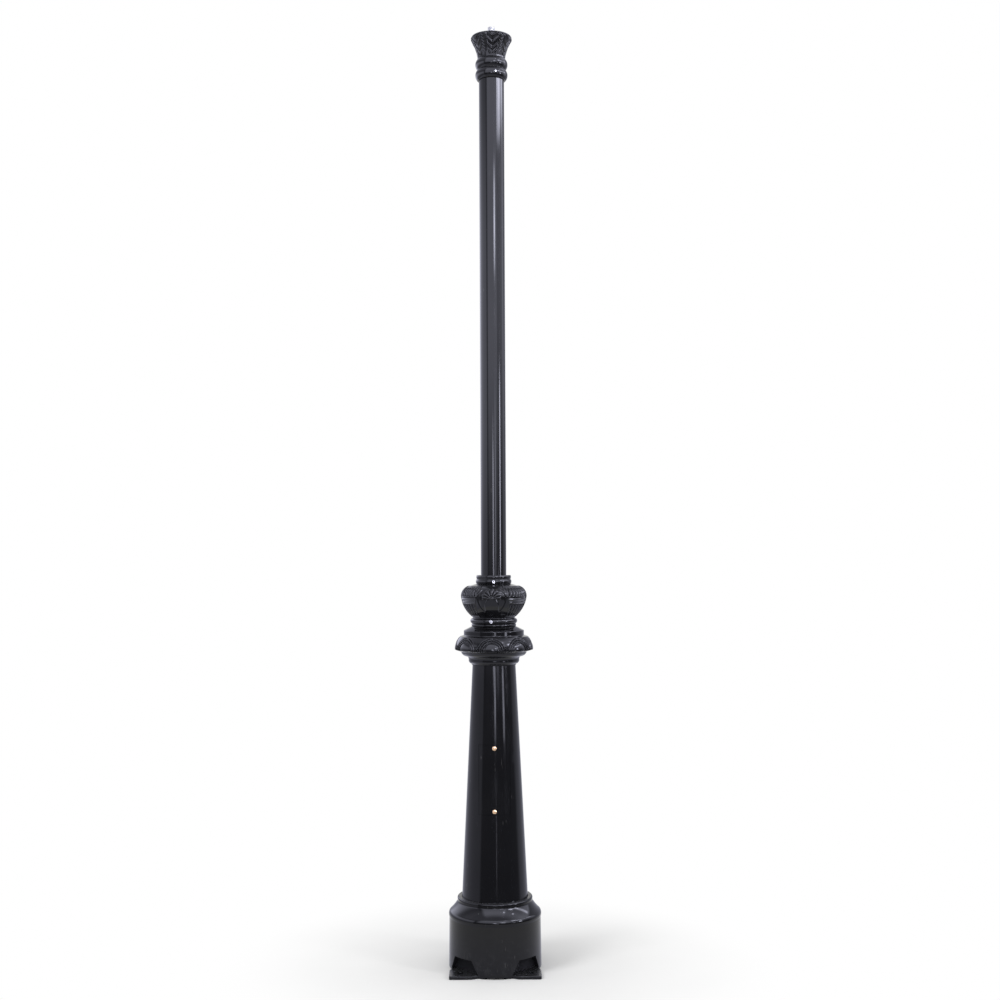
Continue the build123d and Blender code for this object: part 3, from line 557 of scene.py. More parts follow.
def turned(name: str, face: np.ndarray, back: np.ndarray, segments: int, relief: Relief | None = None,
           crease: float = 50.0) -> Object:
    """Turn a closed outline round the post's axis and carve its face.

    Args:
        name: the piece's name.
        face: outer points from the bottom up.
        back: the rest of the outline, from the top down.
        segments: steps round the axis.
        relief: depth to add along the face's normal, for angle, radius and height.
        crease: angle in degrees over which an edge is hard.

    Returns:
        The new object, with a hollow attribute that is 1 in the deepest carving.
    """
    loop = np.vstack([face, back])
    angle = np.arange(segments) * (360.0 / segments)
    depth = np.zeros((len(loop), segments))
    if relief is not None:
        depth[:len(face)] = relief(angle[None, :], face[:, :1], face[:, 1:])
    slope = np.gradient(face, axis=0)
    slope /= np.hypot(*slope.T)[:, None]
    normal = np.zeros_like(loop)
    normal[:len(face)] = np.stack([slope[:, 1], -slope[:, 0]], axis=1)
    radius = loop[:, :1] + normal[:, :1] * depth
    height = loop[:, 1:] + normal[:, 1:] * depth
    turn = np.radians(angle)[None, :]
    spots = np.stack([radius * np.sin(turn), -radius * np.cos(turn), height], axis=2) * MM
    rows, columns = np.meshgrid(np.arange(len(loop)), np.arange(segments), indexing="ij")
    up, side = (rows + 1) % len(loop), (columns + 1) % segments
    corners = [(rows, columns), (rows, side), (up, side), (up, columns)]
    quads = np.stack([row * segments + column for row, column in corners], axis=2).reshape(-1, 4)
    mesh = bpy.data.meshes.new(name)
    mesh.from_pydata(spots.reshape(-1, 3).tolist(), [], quads.tolist())
    deepest = max(-depth.min(), 1e-6)
    hollow = mesh.attributes.new("hollow", "FLOAT", "POINT")
    hollow.data.foreach_set("value", np.clip(-depth / deepest, 0.0, 1.0).astype(np.float32).ravel())
    soft_shaded(mesh, crease)
    return linked(name, mesh)


def plate(name: str, loops: list[list[Point]], bottom: float, top: float, edge: float) -> Mesh:
    """A flat plate with rounded edges and holes.

    Args:
        name: the mesh's name.
        loops: the outline, then each hole, as X and Y points.
        bottom: lower face's height.
        top: upper face's height.
        edge: radius of its edges.

    Returns:
        The plate's mesh, in metres.
    """
    curve = bpy.data.curves.new(name, "CURVE")
    curve.dimensions = "2D"
    curve.fill_mode = "BOTH"
    curve.extrude = ((top - bottom) / 2 - edge) * MM
    curve.bevel_depth = edge * MM
    curve.bevel_resolution = 3
    curve.offset = -edge * MM
    for loop in loops:
        spline = curve.splines.new("POLY")
        spline.points.add(len(loop) - 1)
        for spot, (x, y) in zip(spline.points, loop):
            spot.co = (x * MM, y * MM, 0.0, 1.0)
        spline.use_cyclic_u = True
    maker = bpy.data.objects.new(name, curve)
    mesh = bpy.data.meshes.new_from_object(maker)
    bpy.data.objects.remove(maker)
    bpy.data.curves.remove(curve)
    mesh.transform(Matrix.Translation((0.0, 0.0, (bottom + top) / 2 * MM)))
    return mesh


def circle(x: float, y: float, radius: float, steps: int = 48) -> list[Point]:
    """Points round a circle."""
    turns = [math.tau * step / steps for step in range(steps)]
    return [(x + radius * math.cos(turn), y + radius * math.sin(turn)) for turn in turns]


def rounded(corners: list[Point], radius: float, steps: int = 6) -> list[Point]:
    """An outline with each of its corners rounded."""
    points = []
    for before, corner, after in zip(corners[-1:] + corners[:-1], corners, corners[1:] + corners[:1]):
        spot = np.array(corner, float)
        ways = [np.array(other, float) - spot for other in (before, after)]
        ends = [spot + way / np.linalg.norm(way) * min(radius, np.linalg.norm(way) / 2) for way in ways]
        for step in range(steps + 1):
            share = step / steps
            bend = (1 - share) ** 2 * ends[0] + 2 * share * (1 - share) * spot + share ** 2 * ends[1]
            points.append((float(bend[0]), float(bend[1])))
    return points


def top_of(node: str) -> float:
    """Height of a node's top, in millimetres."""
    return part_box(node)[1].z / MM


def dressed(obj: Object, body: str, material: Material, slot: Slot, *nodes: str) -> None:
    """Give a new piece its material and body, and hide the nodes that it stands for."""
    obj.data.materials.clear()
    obj.data.materials.append(material)
    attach(obj, body)
    if nodes:
        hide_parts(*nodes)
    log.info("%s: %d faces, rides on %s", obj.name, len(obj.data.polygons), body)


# Sub-assemblies


@dataclass
class TurnedPiece:
    """A piece that is turned round the post's axis and takes the place of one node."""

    node: ClassVar[str]
    body: ClassVar[str] = POST_BODY
    slot: ClassVar[Slot] = Slot.PAINT
    spacing: ClassVar[float] = 1.0
    soften: ClassVar[float] = 0.0
    segments: ClassVar[int] = 192

    @property
    def foot(self) -> float:
        """Height of the node's underside, in millimetres."""
        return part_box(self.node)[0].z / MM

    @property
    def top(self) -> float:
        """Height of the node's top, in millimetres."""
        return top_of(self.node)

    def carved(self, name: str, face: Outline, back: Outline) -> Object:
        """Turn an outline whose heights start at the node's underside, and carve its face."""
        lift = np.array([0.0, self.foot])
        outer, inner = face.sampled(self.spacing, self.soften) + lift, np.array(back.points) + lift
        return turned(name, outer, inner, self.segments, self.relief)

    def dress(self, material: Material) -> None:
        """Build the piece and set it in place."""
        dressed(self.build(), self.body, material, self.slot, self.node)


@dataclass
class BasePlinth:
    """Drum on four drilled feet with bolt pockets over them, and with a bead, a cove and a neck."""

    drum_foot_r: float = 137.2
    drum_top_r: float = 136.0
    drum_lift: float = 4.0
    drum_top: float = 150.0
    bead_r: float = 137.4
    bead_top: float = 168.0
    cove_start_r: float = 134.2
    cove_top: float = 196.0
    cove_sag: float = 1.6
    neck_r: float = 111.5
    lip: float = 4.0
    wall: float = 8.0
    foot_span: float = 268.0
    foot_thick: float = 10.0
    foot_face: float = 64.0
    foot_end_angle: float = 20.5
    anchor: Point = (101.0, 101.0)
    anchor_r: float = 8.0
    pocket_back: float = 112.0
    pocket_height: float = 40.0
    pocket_halves: Point = (56.0, 34.0)
    edge: float = 2.0
    foot_corner: float = 5.0
    seat_gap: float = 0.2
    seat_depth: float = 14.0
    ledge_bore: float = 68.0
    ledge_foot: float = 26.0
    segments: int = 256
    block_steps: int = 25
    crease: float = 38.0

    def drum(self) -> Object:
        """Turn the drum, from its lower edge to the neck and down its inside."""
        top = top_of("base_casting")
        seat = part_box("tapered_column")[1].x / MM + self.seat_gap
        face = Outline([(self.drum_foot_r - 3.0, self.drum_lift)])
        face.line((self.drum_foot_r, self.drum_lift + 1.0), (self.drum_top_r, self.drum_top))
        face.arc((self.bead_r, (self.drum_top + self.bead_top) / 2), (self.cove_start_r, self.bead_top))
        face.bow((self.neck_r, self.cove_top), -self.cove_sag)
        face.line((self.neck_r, top - self.lip))
        face.arc((self.neck_r - 0.3 * self.lip, top - 0.3 * self.lip), (self.neck_r - self.lip, top))
        face.line((seat, top))
        shelf, ledge = top - self.seat_depth, top - self.ledge_foot
        back = Outline([(seat, shelf), (self.ledge_bore, shelf), (self.ledge_bore, ledge)])
        back.line((self.neck_r - self.wall, ledge))
        back.line((self.drum_top_r - self.wall, self.drum_top + self.wall))
        back.line((self.drum_foot_r - self.wall, self.drum_lift))
        drum = turned("base_drum", face.sampled(1.5, 1.0), np.array(back.points), self.segments)
        # Empty painted-shade mark on the drum, so that the faces the pockets cut into it can carry theirs.
        drum.data.attributes.new("painted_shade", "FLOAT", "FACE")
        return drum

    def foot_corners(self, side_x: int, side_y: int) -> list[Point]:
        """Corners of one foot's outline."""
        half = self.foot_span / 2
        root = self.drum_foot_r - self.wall / 2
        near = root * math.sin(math.radians(self.foot_end_angle))
        far = root * math.cos(math.radians(self.foot_end_angle))
        inner = (root - self.wall) * math.sqrt(0.5)
        corners = [(half, half), (half - self.foot_face, half), (near, far), (inner, inner), (far, near),
                   (half, half - self.foot_face)]
        points = [(side_x * x, side_y * y) for x, y in corners]
        return points if side_x * side_y > 0 else points[::-1]

    def block(self, side_x: int, side_y: int, halves: Point, heights: Point, back: float,
              reach: float) -> Object:
        """A block over a foot that narrows upwards and is round in front.

        Args:
            side_x: -1 or 1, for the foot's side along X.
            side_y: -1 or 1, for the foot's side along Y.
            halves: half widths at the bottom and the top.
            heights: heights of the bottom and the top.
            back: distance of its flat back from the post's axis.
            reach: radius of its front.

        Returns:
            The new object.
        """
        out, across = (np.array(way) * math.sqrt(0.5) for way in ((side_x, side_y), (-side_y, side_x)))
        shares = np.linspace(-1.0, 1.0, self.block_steps)
        spots = []
        for share in shares:
            low, high = ((share * half, math.sqrt(reach ** 2 - (share * half) ** 2), height)
                         for half, height in zip(halves, heights))
            ring = [(low[0], back, low[2]), low, high, (high[0], back, high[2])]
            spots += [tuple(axis * MM for axis in (*(out * d + across * a), z)) for a, d, z in ring]
        last = 4 * (len(shares) - 1)
        quads = [(i + j, i + 4 + j, i + 4 + (j + 1) % 4, i + (j + 1) % 4)
                 for i in range(0, last, 4) for j in range(4)]
        ends = [(0, 1, 2, 3), (last + 3, last + 2, last + 1, last)]
        mesh = bpy.data.meshes.new("pocket_block")
        mesh.from_pydata(spots, [], quads + ends)
        return linked("pocket_block", mesh)

    def build(self) -> tuple[Object, list[Object], list[Object]]:
        """Make the drum, the feet and pocket walls cast with it, and the room cut for each pocket.

        Returns:
            The drum, what is added to it and what is cut from the whole.
        """
        added, cut = [], []
        ceiling = self.foot_thick + self.pocket_height
        foot_half, top_half = self.pocket_halves
        for side_x in (-1, 1):
            for side_y in (-1, 1):
                spot = (side_x * self.anchor[0], side_y * self.anchor[1])
                outline = rounded(self.foot_corners(side_x, side_y), self.foot_corner)
                loops = [outline, circle(*spot, self.anchor_r)]
                added.append(linked("base_foot", plate("foot", loops, 0.0, self.foot_thick, self.edge)))
                added.append(self.block(side_x, side_y, (foot_half + 2 * self.wall, top_half + self.wall),
                                        (0.0, ceiling + self.wall), self.pocket_back - self.wall,
                                        self.drum_foot_r - self.wall / 2))
                room = self.block(side_x, side_y, self.pocket_halves, (self.foot_thick, ceiling),
                                  self.pocket_back, self.drum_foot_r + self.wall)
                # Painted shade: the pocket's walls and ceiling are marked to be painted dark, standing in
                # for the shade inside it. Its floor, on the foot, is left as it is.
                painted_shade = room.data.attributes.new("painted_shade", "FLOAT", "FACE")
                for face, share in zip(room.data.polygons, painted_shade.data):
                    share.value = float(face.normal.z > -0.9)
                cut.append(room)
        return self.drum(), added, cut

    def dress(self, material: Material) -> None:
        """Build the base and make one casting of its pieces."""
        drum, added, cut = self.build()
        for operation, pieces in (("UNION", added), ("DIFFERENCE", cut)):
            group = bpy.data.collections.new(operation.lower())
            for piece in pieces:
                group.objects.link(piece)
            step = drum.modifiers.new(operation.lower(), "BOOLEAN")
            step.operation, step.solver, step.operand_type = operation, "EXACT", "COLLECTION"
            step.collection = group
        whole = bpy.data.meshes.new_from_object(drum.evaluated_get(bpy.context.evaluated_depsgraph_get()))
        groups = [step.collection for step in drum.modifiers]
        for piece in (drum, *added, *cut):
            bpy.data.objects.remove(piece)
        for group in groups:
            bpy.data.collections.remove(group)
        soft_shaded(whole, self.crease)
        dressed(linked("base_plinth", whole), POST_BODY, material, Slot.PAINT, "base_casting")


@dataclass
class LowerCapital(TurnedPiece):
    """Collar of eggs, arches and reeds over the column's top."""

    node = "lower_capital"
    spacing = 0.9
    soften = 0.7
    segments = 720
    skirt_r: float = 66.8
    skirt_land: float = 2.5
    ring_end: Point = (75.8, 12.5)
    ring_bulge: float = 2.2
    hollow_end: Point = (81.0, 25.5)
    hollow_sag: float = 2.0
    bowl_foot_r: float = 85.0
    bowl_r: float = 98.5
    bowl_top: float = 39.0
    bowl_bulge: float = 3.0
    leaf_r: float = 116.4
    leaf_foot: float = 45.0
    leaf_bulge: Point = (112.5, 68.4)
    leaf_top_r: float = 102.0
    leaf_top: float = 84.0
    plate_r: float = 90.0
    plate_foot: float = 88.0
    plate_top: float = 102.0
    top_r: float = 66.7
    slope_top: float = 113.5
    bore: float = 38.4
    egg_count: int = 8
    egg_phase: float = -4.0
    egg_half: float = 23.0
    arch_width: float = 7.0
    egg_foot: float = 4.0
    reed_pitch: float = 5.6
    reed_top: Point = (12.0, 17.0)
    carve: float = 2.8
    egg_rise: float = 0.8
    climb_stretch: float = 1.08
    arch_edge: float = 0.6
    wall: float = 10.0
    spigot_r: float = 64.7
    spigot_top: float = 11.0
    ledge_r: float = 55.0
    ledge_top: float = 19.0

    def relief(self, angle: np.ndarray, radius: np.ndarray, height: np.ndarray) -> np.ndarray:
        """Carving of the eggs, the double arches over them and the reeds between."""
        period = 360.0 / self.egg_count
        across = np.radians(around(angle, self.egg_phase, period)) * self.leaf_bulge[0]
        level = height - self.foot
        climb = (level - self.leaf_foot) * self.climb_stretch
        reach = np.hypot(across, np.clip(climb - self.egg_foot, 0.0, None))
        dome = np.sqrt(np.clip(1.0 - (reach / self.egg_half) ** 2, 0.0, 1.0))
        egg = (self.carve + self.egg_rise) * dome
        beyond = reach - self.egg_half
        end = 2 * self.arch_width
        over = band(beyond, (0.0, self.arch_edge, end - self.arch_edge, end))
        arches = self.carve * over * (0.5 - 0.5 * np.cos(math.tau * beyond / self.arch_width)) ** 0.7
        between = math.radians(period / 2) * self.leaf_bulge[0] - np.abs(across)
        low = 1.0 - smooth(climb, *self.reed_top)
        reeds = 1.0 - low * (0.5 - 0.5 * np.cos(math.tau * between / self.reed_pitch))
        between_arches = (self.carve - 0.4) * smooth(beyond, end, end + 2.0) * reeds
        zone = (self.bowl_top + 3.0, self.leaf_foot - 0.5, self.leaf_top - 2.5, self.leaf_top + 0.5)
        return band(level, zone) * (egg + arches + between_arches - self.carve)

    def build(self) -> Object:
        """Turn and carve the collar."""
        top = self.top - self.foot
        tube_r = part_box("mast_tube")[1].x / MM
        face = Outline([(self.skirt_r, 0.0), (self.skirt_r, self.skirt_land)])
        face.bow(self.ring_end, self.ring_bulge)
        face.bow(self.hollow_end, -self.hollow_sag)
        face.line((self.bowl_foot_r, self.hollow_end[1]))
        face.bow((self.bowl_r, self.bowl_top), self.bowl_bulge)
        face.line((self.leaf_r, self.leaf_foot))
        face.arc(self.leaf_bulge, (self.leaf_top_r, self.leaf_top))
        face.line((self.plate_r, self.plate_foot), (self.plate_r, self.plate_top))
        face.line((self.top_r, self.slope_top), (self.top_r, top), (tube_r + 0.4, top))
        wall, leaf_back = self.wall, self.leaf_top_r - self.wall
        back = Outline([(self.bore, top - wall), (self.top_r, self.slope_top - wall)])
        back.line((self.plate_r - wall, self.plate_foot), (leaf_back, self.leaf_top - wall))
        back.line((leaf_back, self.leaf_foot + wall), (self.bowl_r - wall, self.bowl_top))
        back.line((self.ring_end[0] - wall, self.hollow_end[1]), (self.ledge_r, self.ledge_top))
        back.line((self.ledge_r, self.spigot_top), (self.spigot_r, self.spigot_top), (self.spigot_r, 0.0))
        return self.carved("lower_capital_carved", face, back)


@dataclass
class ColumnBoss(TurnedPiece):
    """Bulb with crested shields and reeded panels between two sets of rings."""

    node = "column_boss"
    soften = 0.7
    segments = 640
    ease: float = 1.5
    ring_step: float = 2.2
    collar_step: float = 2.5
    foot_r: float = 66.7
    ring_foot: float = 8.0
    ring_r: float = 70.2
    ring_top: float = 25.0
    waist_r: float = 63.0
    waist_top: float = 27.0
    belly_r: float = 98.5
    belly: float = 90.0
    belly_bulge: float = 7.5
    shoulder_r: float = 69.0
    shoulder: float = 121.5
    shoulder_bulge: float = 9.0
    neck_r: float = 51.0
    neck: float = 127.0
    collar_foot: float = 127.5
    collar_r: float = 53.5
    collar_height: float = 11.5
    collar_gap: float = 2.0
    upper_collar_r: float = 52.0
    bore: float = 38.4
    leaf_count: int = 3
    leaf_phase: float = -4.0
    flute_pitch: float = 7.5
    flute_depth: float = 4.5
    flute_zone: Zone = (-60.0, -56.0, -25.0, -21.0)
    reed_zone: Zone = (0.0, 4.0, 26.5, 30.0)
    carved_zone: Zone = (-63.0, -59.0, 29.5, 31.5)
    bead_levels: Point = (-9.0, -18.0)
    bead_half: float = 4.6
    bead_rise: float = 2.0
    panel_drop: float = 2.6
    shield_half: float = 36.0
    shield_narrowing: float = 5.0
    shield_drop: float = 1.4
    rim_rise: float = 1.6
    rim_half: float = 1.8
    groove_zone: Zone = (-46.0, -40.0, 20.0, 26.0)
    groove_depth: float = 2.2
    groove_half: float = 1.9
    tongue_zone: Zone = (-2.0, 4.0, 38.0, 46.0)
    tongue_rise: float = 1.8
    crest_drop: float = 4.0
    crest_stretch: float = 1.15
    petal_pitch: float = 29.0
    petal_half: float = 13.6
    petal_length: float = 34.0
    petal_rise: float = 3.2
    fan_ends: Point = (98.0, 104.0)
    knob_rise: float = 2.6
    knob_r: float = 6.5
    wall: float = 9.0
    waist_back: float = 37.0
    bore_top: float = 28.0

    def relief(self, angle: np.ndarray, radius: np.ndarray, height: np.ndarray) -> np.ndarray:
        """Carving of the shields and their crests, and of the reeded panels between."""
        period = 360.0 / self.leaf_count
        turn = around(angle, self.leaf_phase, period)
        climb = height - self.foot - self.belly
        narrower = smooth(climb, -40.0, 2.0) + smooth(climb, 8.0, 27.0)
        inside = self.shield_half - self.shield_narrowing * narrower - np.abs(turn)
        leaf = smooth(inside, -0.4, 0.7)
        cut = band(climb, self.flute_zone) + band(climb, self.reed_zone)
        rib = np.sqrt(0.5 + 0.5 * np.cos(math.tau * (np.abs(turn) - period / 2) / self.flute_pitch))
        beads = self.bead_rise * sum(hump(climb, level, self.bead_half) for level in self.bead_levels)
        panel = beads - self.panel_drop + cut * self.flute_depth * (rib - 0.7)
        across = np.radians(turn) * radius
        shield = self.shield(turn, inside, across, climb)
        return band(climb, self.carved_zone) * (leaf * shield + (1.0 - leaf) * panel)

    def shield(self, turn: np.ndarray, inside: np.ndarray, across: np.ndarray,
               climb: np.ndarray) -> np.ndarray:
        """Carving of one shield.

        Args:
            turn: degrees from its middle.
            inside: degrees inside its edge.
            across: millimetres from its middle.
            climb: millimetres above the belly.

        Returns:
            Height of the carving.
        """
        side = np.abs(turn)
        border = 25.0 - 0.0075 * (climb + 9.0) ** 2
        rim = self.rim_rise * hump(inside, self.rim_half, self.rim_half)
        groove = -self.groove_depth * hump(side, border, self.groove_half) * band(climb, self.groove_zone)
        leaf_edge = 7.0 + 6.5 * smooth(-climb, 0.0, 26.0)
        tongue = self.tongue_rise * (1.0 - smooth(side, leaf_edge - 1.2, leaf_edge + 0.4))
        tongue = tongue * band(-climb, self.tongue_zone)
        return rim + groove + tongue + self.crest(across, climb * self.crest_stretch) - self.shield_drop

    def crest(self, across: np.ndarray, climb: np.ndarray) -> np.ndarray:
        """Fan of petals at the top of a shield, from millimetres across and up."""
        base = climb + self.crest_drop
        reach = np.hypot(across, base)
        fan = np.degrees(np.arctan2(across, base))
        petal = around(fan, 0.0, self.petal_pitch)
        length = self.petal_length - 0.05 * np.abs(fan - petal)
        blade = np.sqrt(np.clip(1.0 - (petal / self.petal_half) ** 2, 0.0, 1.0))
        spread = (1.0 - smooth(np.abs(fan), *self.fan_ends)) * smooth(reach, 6.0, 11.0)
        petals = self.petal_rise * blade * spread * (1.0 - smooth(reach, length * 0.84, length))
        return petals + self.knob_rise * hump(reach, 0.0, self.knob_r)

    def build(self) -> Object:
        """Turn and carve the bulb and its rings."""
        top = self.top - self.foot
        face = Outline([(self.foot_r - self.ease, 0.0), (self.foot_r, self.ease)])
        face.line((self.foot_r, self.ring_foot - self.ease), (self.foot_r - self.ring_step, self.ring_foot))
        face.arc((self.ring_r, (self.ring_foot + self.ring_top) / 2), (self.waist_r, self.ring_top))
        face.line((self.waist_r, self.waist_top))
        face.bow((self.belly_r, self.belly), self.belly_bulge)
        face.bow((self.shoulder_r, self.shoulder), self.shoulder_bulge)
        face.line((self.neck_r, self.neck), (self.neck_r, self.collar_foot))
        upper_foot = self.collar_foot + self.collar_height + self.collar_gap
        for radius, start in ((self.collar_r, self.collar_foot), (self.upper_collar_r, upper_foot)):
            end = start + self.collar_height
            face.line((radius - self.ease, start))
            face.arc((radius, (start + end) / 2), (radius - self.ease, end))
            face.line((radius - self.collar_step, end))
        face.line((self.bore, top))
        wall, ceiling = self.wall, self.shoulder - self.wall
        back = Outline([(self.bore, ceiling), (self.shoulder_r - wall, ceiling)])
        back.line((self.belly_r - wall, self.belly), (self.waist_r - wall, self.waist_back))
        back.line((self.bore, self.bore_top), (self.bore, 0.0))
        return self.carved("column_boss_carved", face, back)


@dataclass
class TopCapital(TurnedPiece):
    """Two rings and a bell of upright leaves under a flat top."""

    node = "top_capital"
    body = MAST_BODY
    spacing = 0.8
    soften = 0.6
    segments = 480
    ring_r: float = 48.8
    ring_height: float = 32.0
    neck_r: float = 42.0
    bell_foot: float = 68.0
    bell_mid: Point = (46.0, 90.0)
    bell_r: float = 59.0
    bell_top: float = 119.0
    rim_r: float = 61.5
    rim_mid: float = 126.0
    flat_r: float = 58.0
    socket_r: float = 38.2
    leaf_count: int = 6
    seam_phase: float = 4.0
    vein_levels: tuple[float, ...] = (0.0, 0.25, 0.52, 0.79)
    vein_slope: float = 0.0125
    vein_half: float = 0.085
    vein_rise: float = 3.4
    barb_pitch: float = 0.135
    barb_slope: float = 0.016
    barb_rise: float = 1.2
    barb_drop: float = 0.5
    rib_edge: Point = (5.0, 8.5)
    rib_start: Point = (0.12, 0.3)
    seam_edge: Point = (14.0, 17.0)
    seam_spread: float = 4.0
    carve: float = 2.4
    tip_rise: float = 2.6
    hole_r: float = 9.95
    hole_cone: float = 0.9
    cap_thick: float = 15.0
    core_r: float = 30.0
    socket_top: float = 81.0

    def relief(self, angle: np.ndarray, radius: np.ndarray, height: np.ndarray) -> np.ndarray:
        """Carving of the chevrons where leaves meet and of the barbed rib up each leaf."""
        foot, top = self.foot + self.bell_foot, self.top
        period = 360.0 / self.leaf_count
        side = np.abs(around(angle, self.seam_phase, period))
        rise = np.clip((height - foot) / (top - foot), -0.2, 1.2)
        seam = 1.0 - smooth(side, *(edge + self.seam_spread * rise for edge in self.seam_edge))
        slant = rise - self.vein_slope * side
        veins = sum(hump(slant, level, self.vein_half) for level in self.vein_levels)
        cut = -1.0 * hump(side, 0.0, 1.6)
        off_rib = period / 2 - side
        barbs = np.cos(math.tau * (rise - self.barb_slope * off_rib) / self.barb_pitch)
        rib = (1.0 - smooth(off_rib, *self.rib_edge)) * smooth(rise, *self.rib_start)
        rib = rib * (self.barb_rise * barbs - self.barb_drop)
        zone = smooth(rise, 0.0, 0.07) * (1.0 - smooth(height, top - 1.4, top - 0.2))
        return zone * (seam * (self.vein_rise * veins + cut - self.carve) + rib)

    def build(self) -> Object:
        """Turn and carve the capital."""
        top = self.top - self.foot
        face = Outline([(self.socket_r, 0.0), (self.neck_r, 0.0)])
        for ring in (1, 2):
            middle = (ring - 0.5) * self.ring_height
            face.arc((self.ring_r, middle), (self.neck_r, ring * self.ring_height))
        face.line((self.neck_r, self.bell_foot))
        face.arc(self.bell_mid, (self.bell_r, self.bell_top))
        face.arc((self.rim_r, self.rim_mid), (self.flat_r + 1.2, top + self.tip_rise - 0.8))
        face.line((self.flat_r, top + self.tip_rise), (self.flat_r - 4.0, top))
        face.line((self.hole_r + self.hole_cone, top))
        ceiling = top - self.cap_thick
        back = Outline([(self.hole_r, top - self.hole_cone), (self.hole_r, ceiling)])
        back.line((self.core_r, ceiling), (self.core_r, self.socket_top), (self.socket_r, self.socket_top))
        return self.carved("top_capital_carved", face, back)


@dataclass
class LampStub(TurnedPiece):
    """Threaded hollow stub on the top capital."""

    node = "lamp_nipple"
    body = MAST_BODY
    slot = Slot.ZINC
    spacing = 0.22
    segments = 96
    radius: float = 10.5
    bore: float = 7.5
    tail_r: float = 9.8
    pitch: float = 1.81
    thread_depth: float = 0.4
    lead: float = 1.2
    crease: float = 70.0

    def relief(self, angle: np.ndarray, radius: np.ndarray, height: np.ndarray) -> np.ndarray:
        """Depth of the screw thread."""
        seat, end = top_of("top_capital"), self.top
        turn = (height / self.pitch - angle / 360.0) % 1.0
        groove = -self.thread_depth * np.clip(1.15 - 2.3 * np.abs(turn - 0.5), 0.0, 1.0)
        return groove * band(height, (seat + 1.0, seat + 3.0, end - 2 * self.lead, end - self.lead))

    def build(self) -> Object:
        """Turn and thread the stub."""
        foot, end, seat = self.foot, self.top, top_of("top_capital")
        face = Outline([(self.tail_r, foot), (self.tail_r, seat + self.tail_r - self.radius)])
        face.line((self.radius, seat), (self.radius, end - self.lead))
        face.line((self.radius - self.lead, end), (self.bore, end))
        outer, inner = face.sampled(self.spacing), np.array([(self.bore, foot)])
        return turned("lamp_stub_threaded", outer, inner, self.segments, self.relief, self.crease)


@dataclass
class PlainTube(TurnedPiece):
    """Drawn tube of the mast, with eased ends."""

    node = "mast_tube"
    body = MAST_BODY
    ease: float = 0.8
    wall: float = 4.0
    steps: int = 60

    def build(self) -> Object:
        """Turn the tube."""
        radius, foot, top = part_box("mast_tube")[1].x / MM, self.foot, self.top
        bore = radius - self.wall
        stops = np.linspace(foot + self.ease, top - self.ease, self.steps)
        face = [(radius - self.ease, foot), *((radius, z) for z in stops), (radius - self.ease, top)]
        back = np.array([(bore, top), (bore, foot)])
        return turned("mast_tube_drawn", np.array(face), back, self.segments)


@dataclass
class KeptNodes:
    """Pieces whose solids are already right and only take a finish."""

    finishes: dict[str, tuple[str, ...]]

    def dress(self, materials: dict[str, Material]) -> None:
        """Give each kept node its material."""
        for name, nodes in self.finishes.items():
            for node in nodes:
                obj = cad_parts[node]
                obj.data.materials.clear()
                obj.data.materials.append(materials[name])
                log.info("%s keeps its solid, in %s", node, name)


# Studio


@dataclass(frozen=True)
class SoftBox:
    """A soft box on the studio's wall, by its heading and climb in degrees."""

    left: float
    right: float
    low: float
    high: float
    level: float
    soft_side: float = 2.0
    soft_end: float = 2.0

    def place(self, graph: Graph, heading: Socket, climb: Socket) -> Socket:
        """Add the soft box to the wall's material and return its glow."""
        node = placed(graph, "soft_box", Heading=heading, Climb=climb, Left=self.left, Right=self.right,
                      Low=self.low, High=self.high, Level=self.level, Soft_Side=self.soft_side,
                      Soft_End=self.soft_end)
        return node.outputs["Glow"]


# Left, right, low, high, level, soft side and soft end of each
SOFT_BOXES = [SoftBox(*row) for row in (
    (-172.0, -54.0, -40.0, 45.0, 0.45, 4.0, 8.0),
    (-160.0, -54.0, 1.0, 24.0, 1.7, 4.0, 8.0),
    (-45.0, 36.0, 4.0, 60.0, 2.6, 8.0, 10.0),
    (32.0, 120.0, 6.0, 60.0, 1.8, 4.0, 12.0),
    (-5.0, 3.0, -2.5, 6.0, 9.0, 1.5, 1.5),
    (1.0, 8.0, -6.0, -2.5, 6.0, 1.5, 1.5),
    (14.0, 25.0, -2.0, 8.0, 3.0, 2.0, 3.0),
    (14.0, 27.0, 17.0, 22.0, 18.0, 3.0, 1.5),
    (61.0, 69.0, -2.0, 10.0, 17.0, 2.0, 0.8),
    (42.0, 50.0, -6.5, -2.7, 8.0, 2.0, 1.2),
    (45.0, 80.0, 24.5, 29.0, 12.0, 3.0, 1.0),
    (60.0, 115.0, 25.5, 31.0, 7.0, 3.0, 1.5),
    (46.0, 60.0, 28.0, 36.0, 18.0, 3.0, 1.0),
    (6.0, 7.4, -15.0, -11.0, 3.0, 0.5, 0.5),
    (30.0, 36.0, 45.0, 49.0, 12.0, 1.5, 1.0),
    (65.0, 71.0, 45.0, 49.0, 12.0, 1.5, 1.0),
    (97.0, 172.0, -45.0, 60.0, 0.4, 8.0, 8.0),
    (-172.0, 172.0, 42.0, 85.0, 0.8, 8.0, 8.0),
    (-172.0, 172.0, -60.0, -25.0, 0.7, 4.0, 4.0),
)]

# Place in metres, width and height in metres, and power in watts of each
LAMPS = {
    "key_box": ((-3.0, -2.6, 3.6), (1.6, 2.2), 90.0),
    "fill_box": ((3.2, -2.0, 2.4), (0.5, 2.6), 30.0),
}
WHITE = rgba(1.0, 1.0, 1.0)


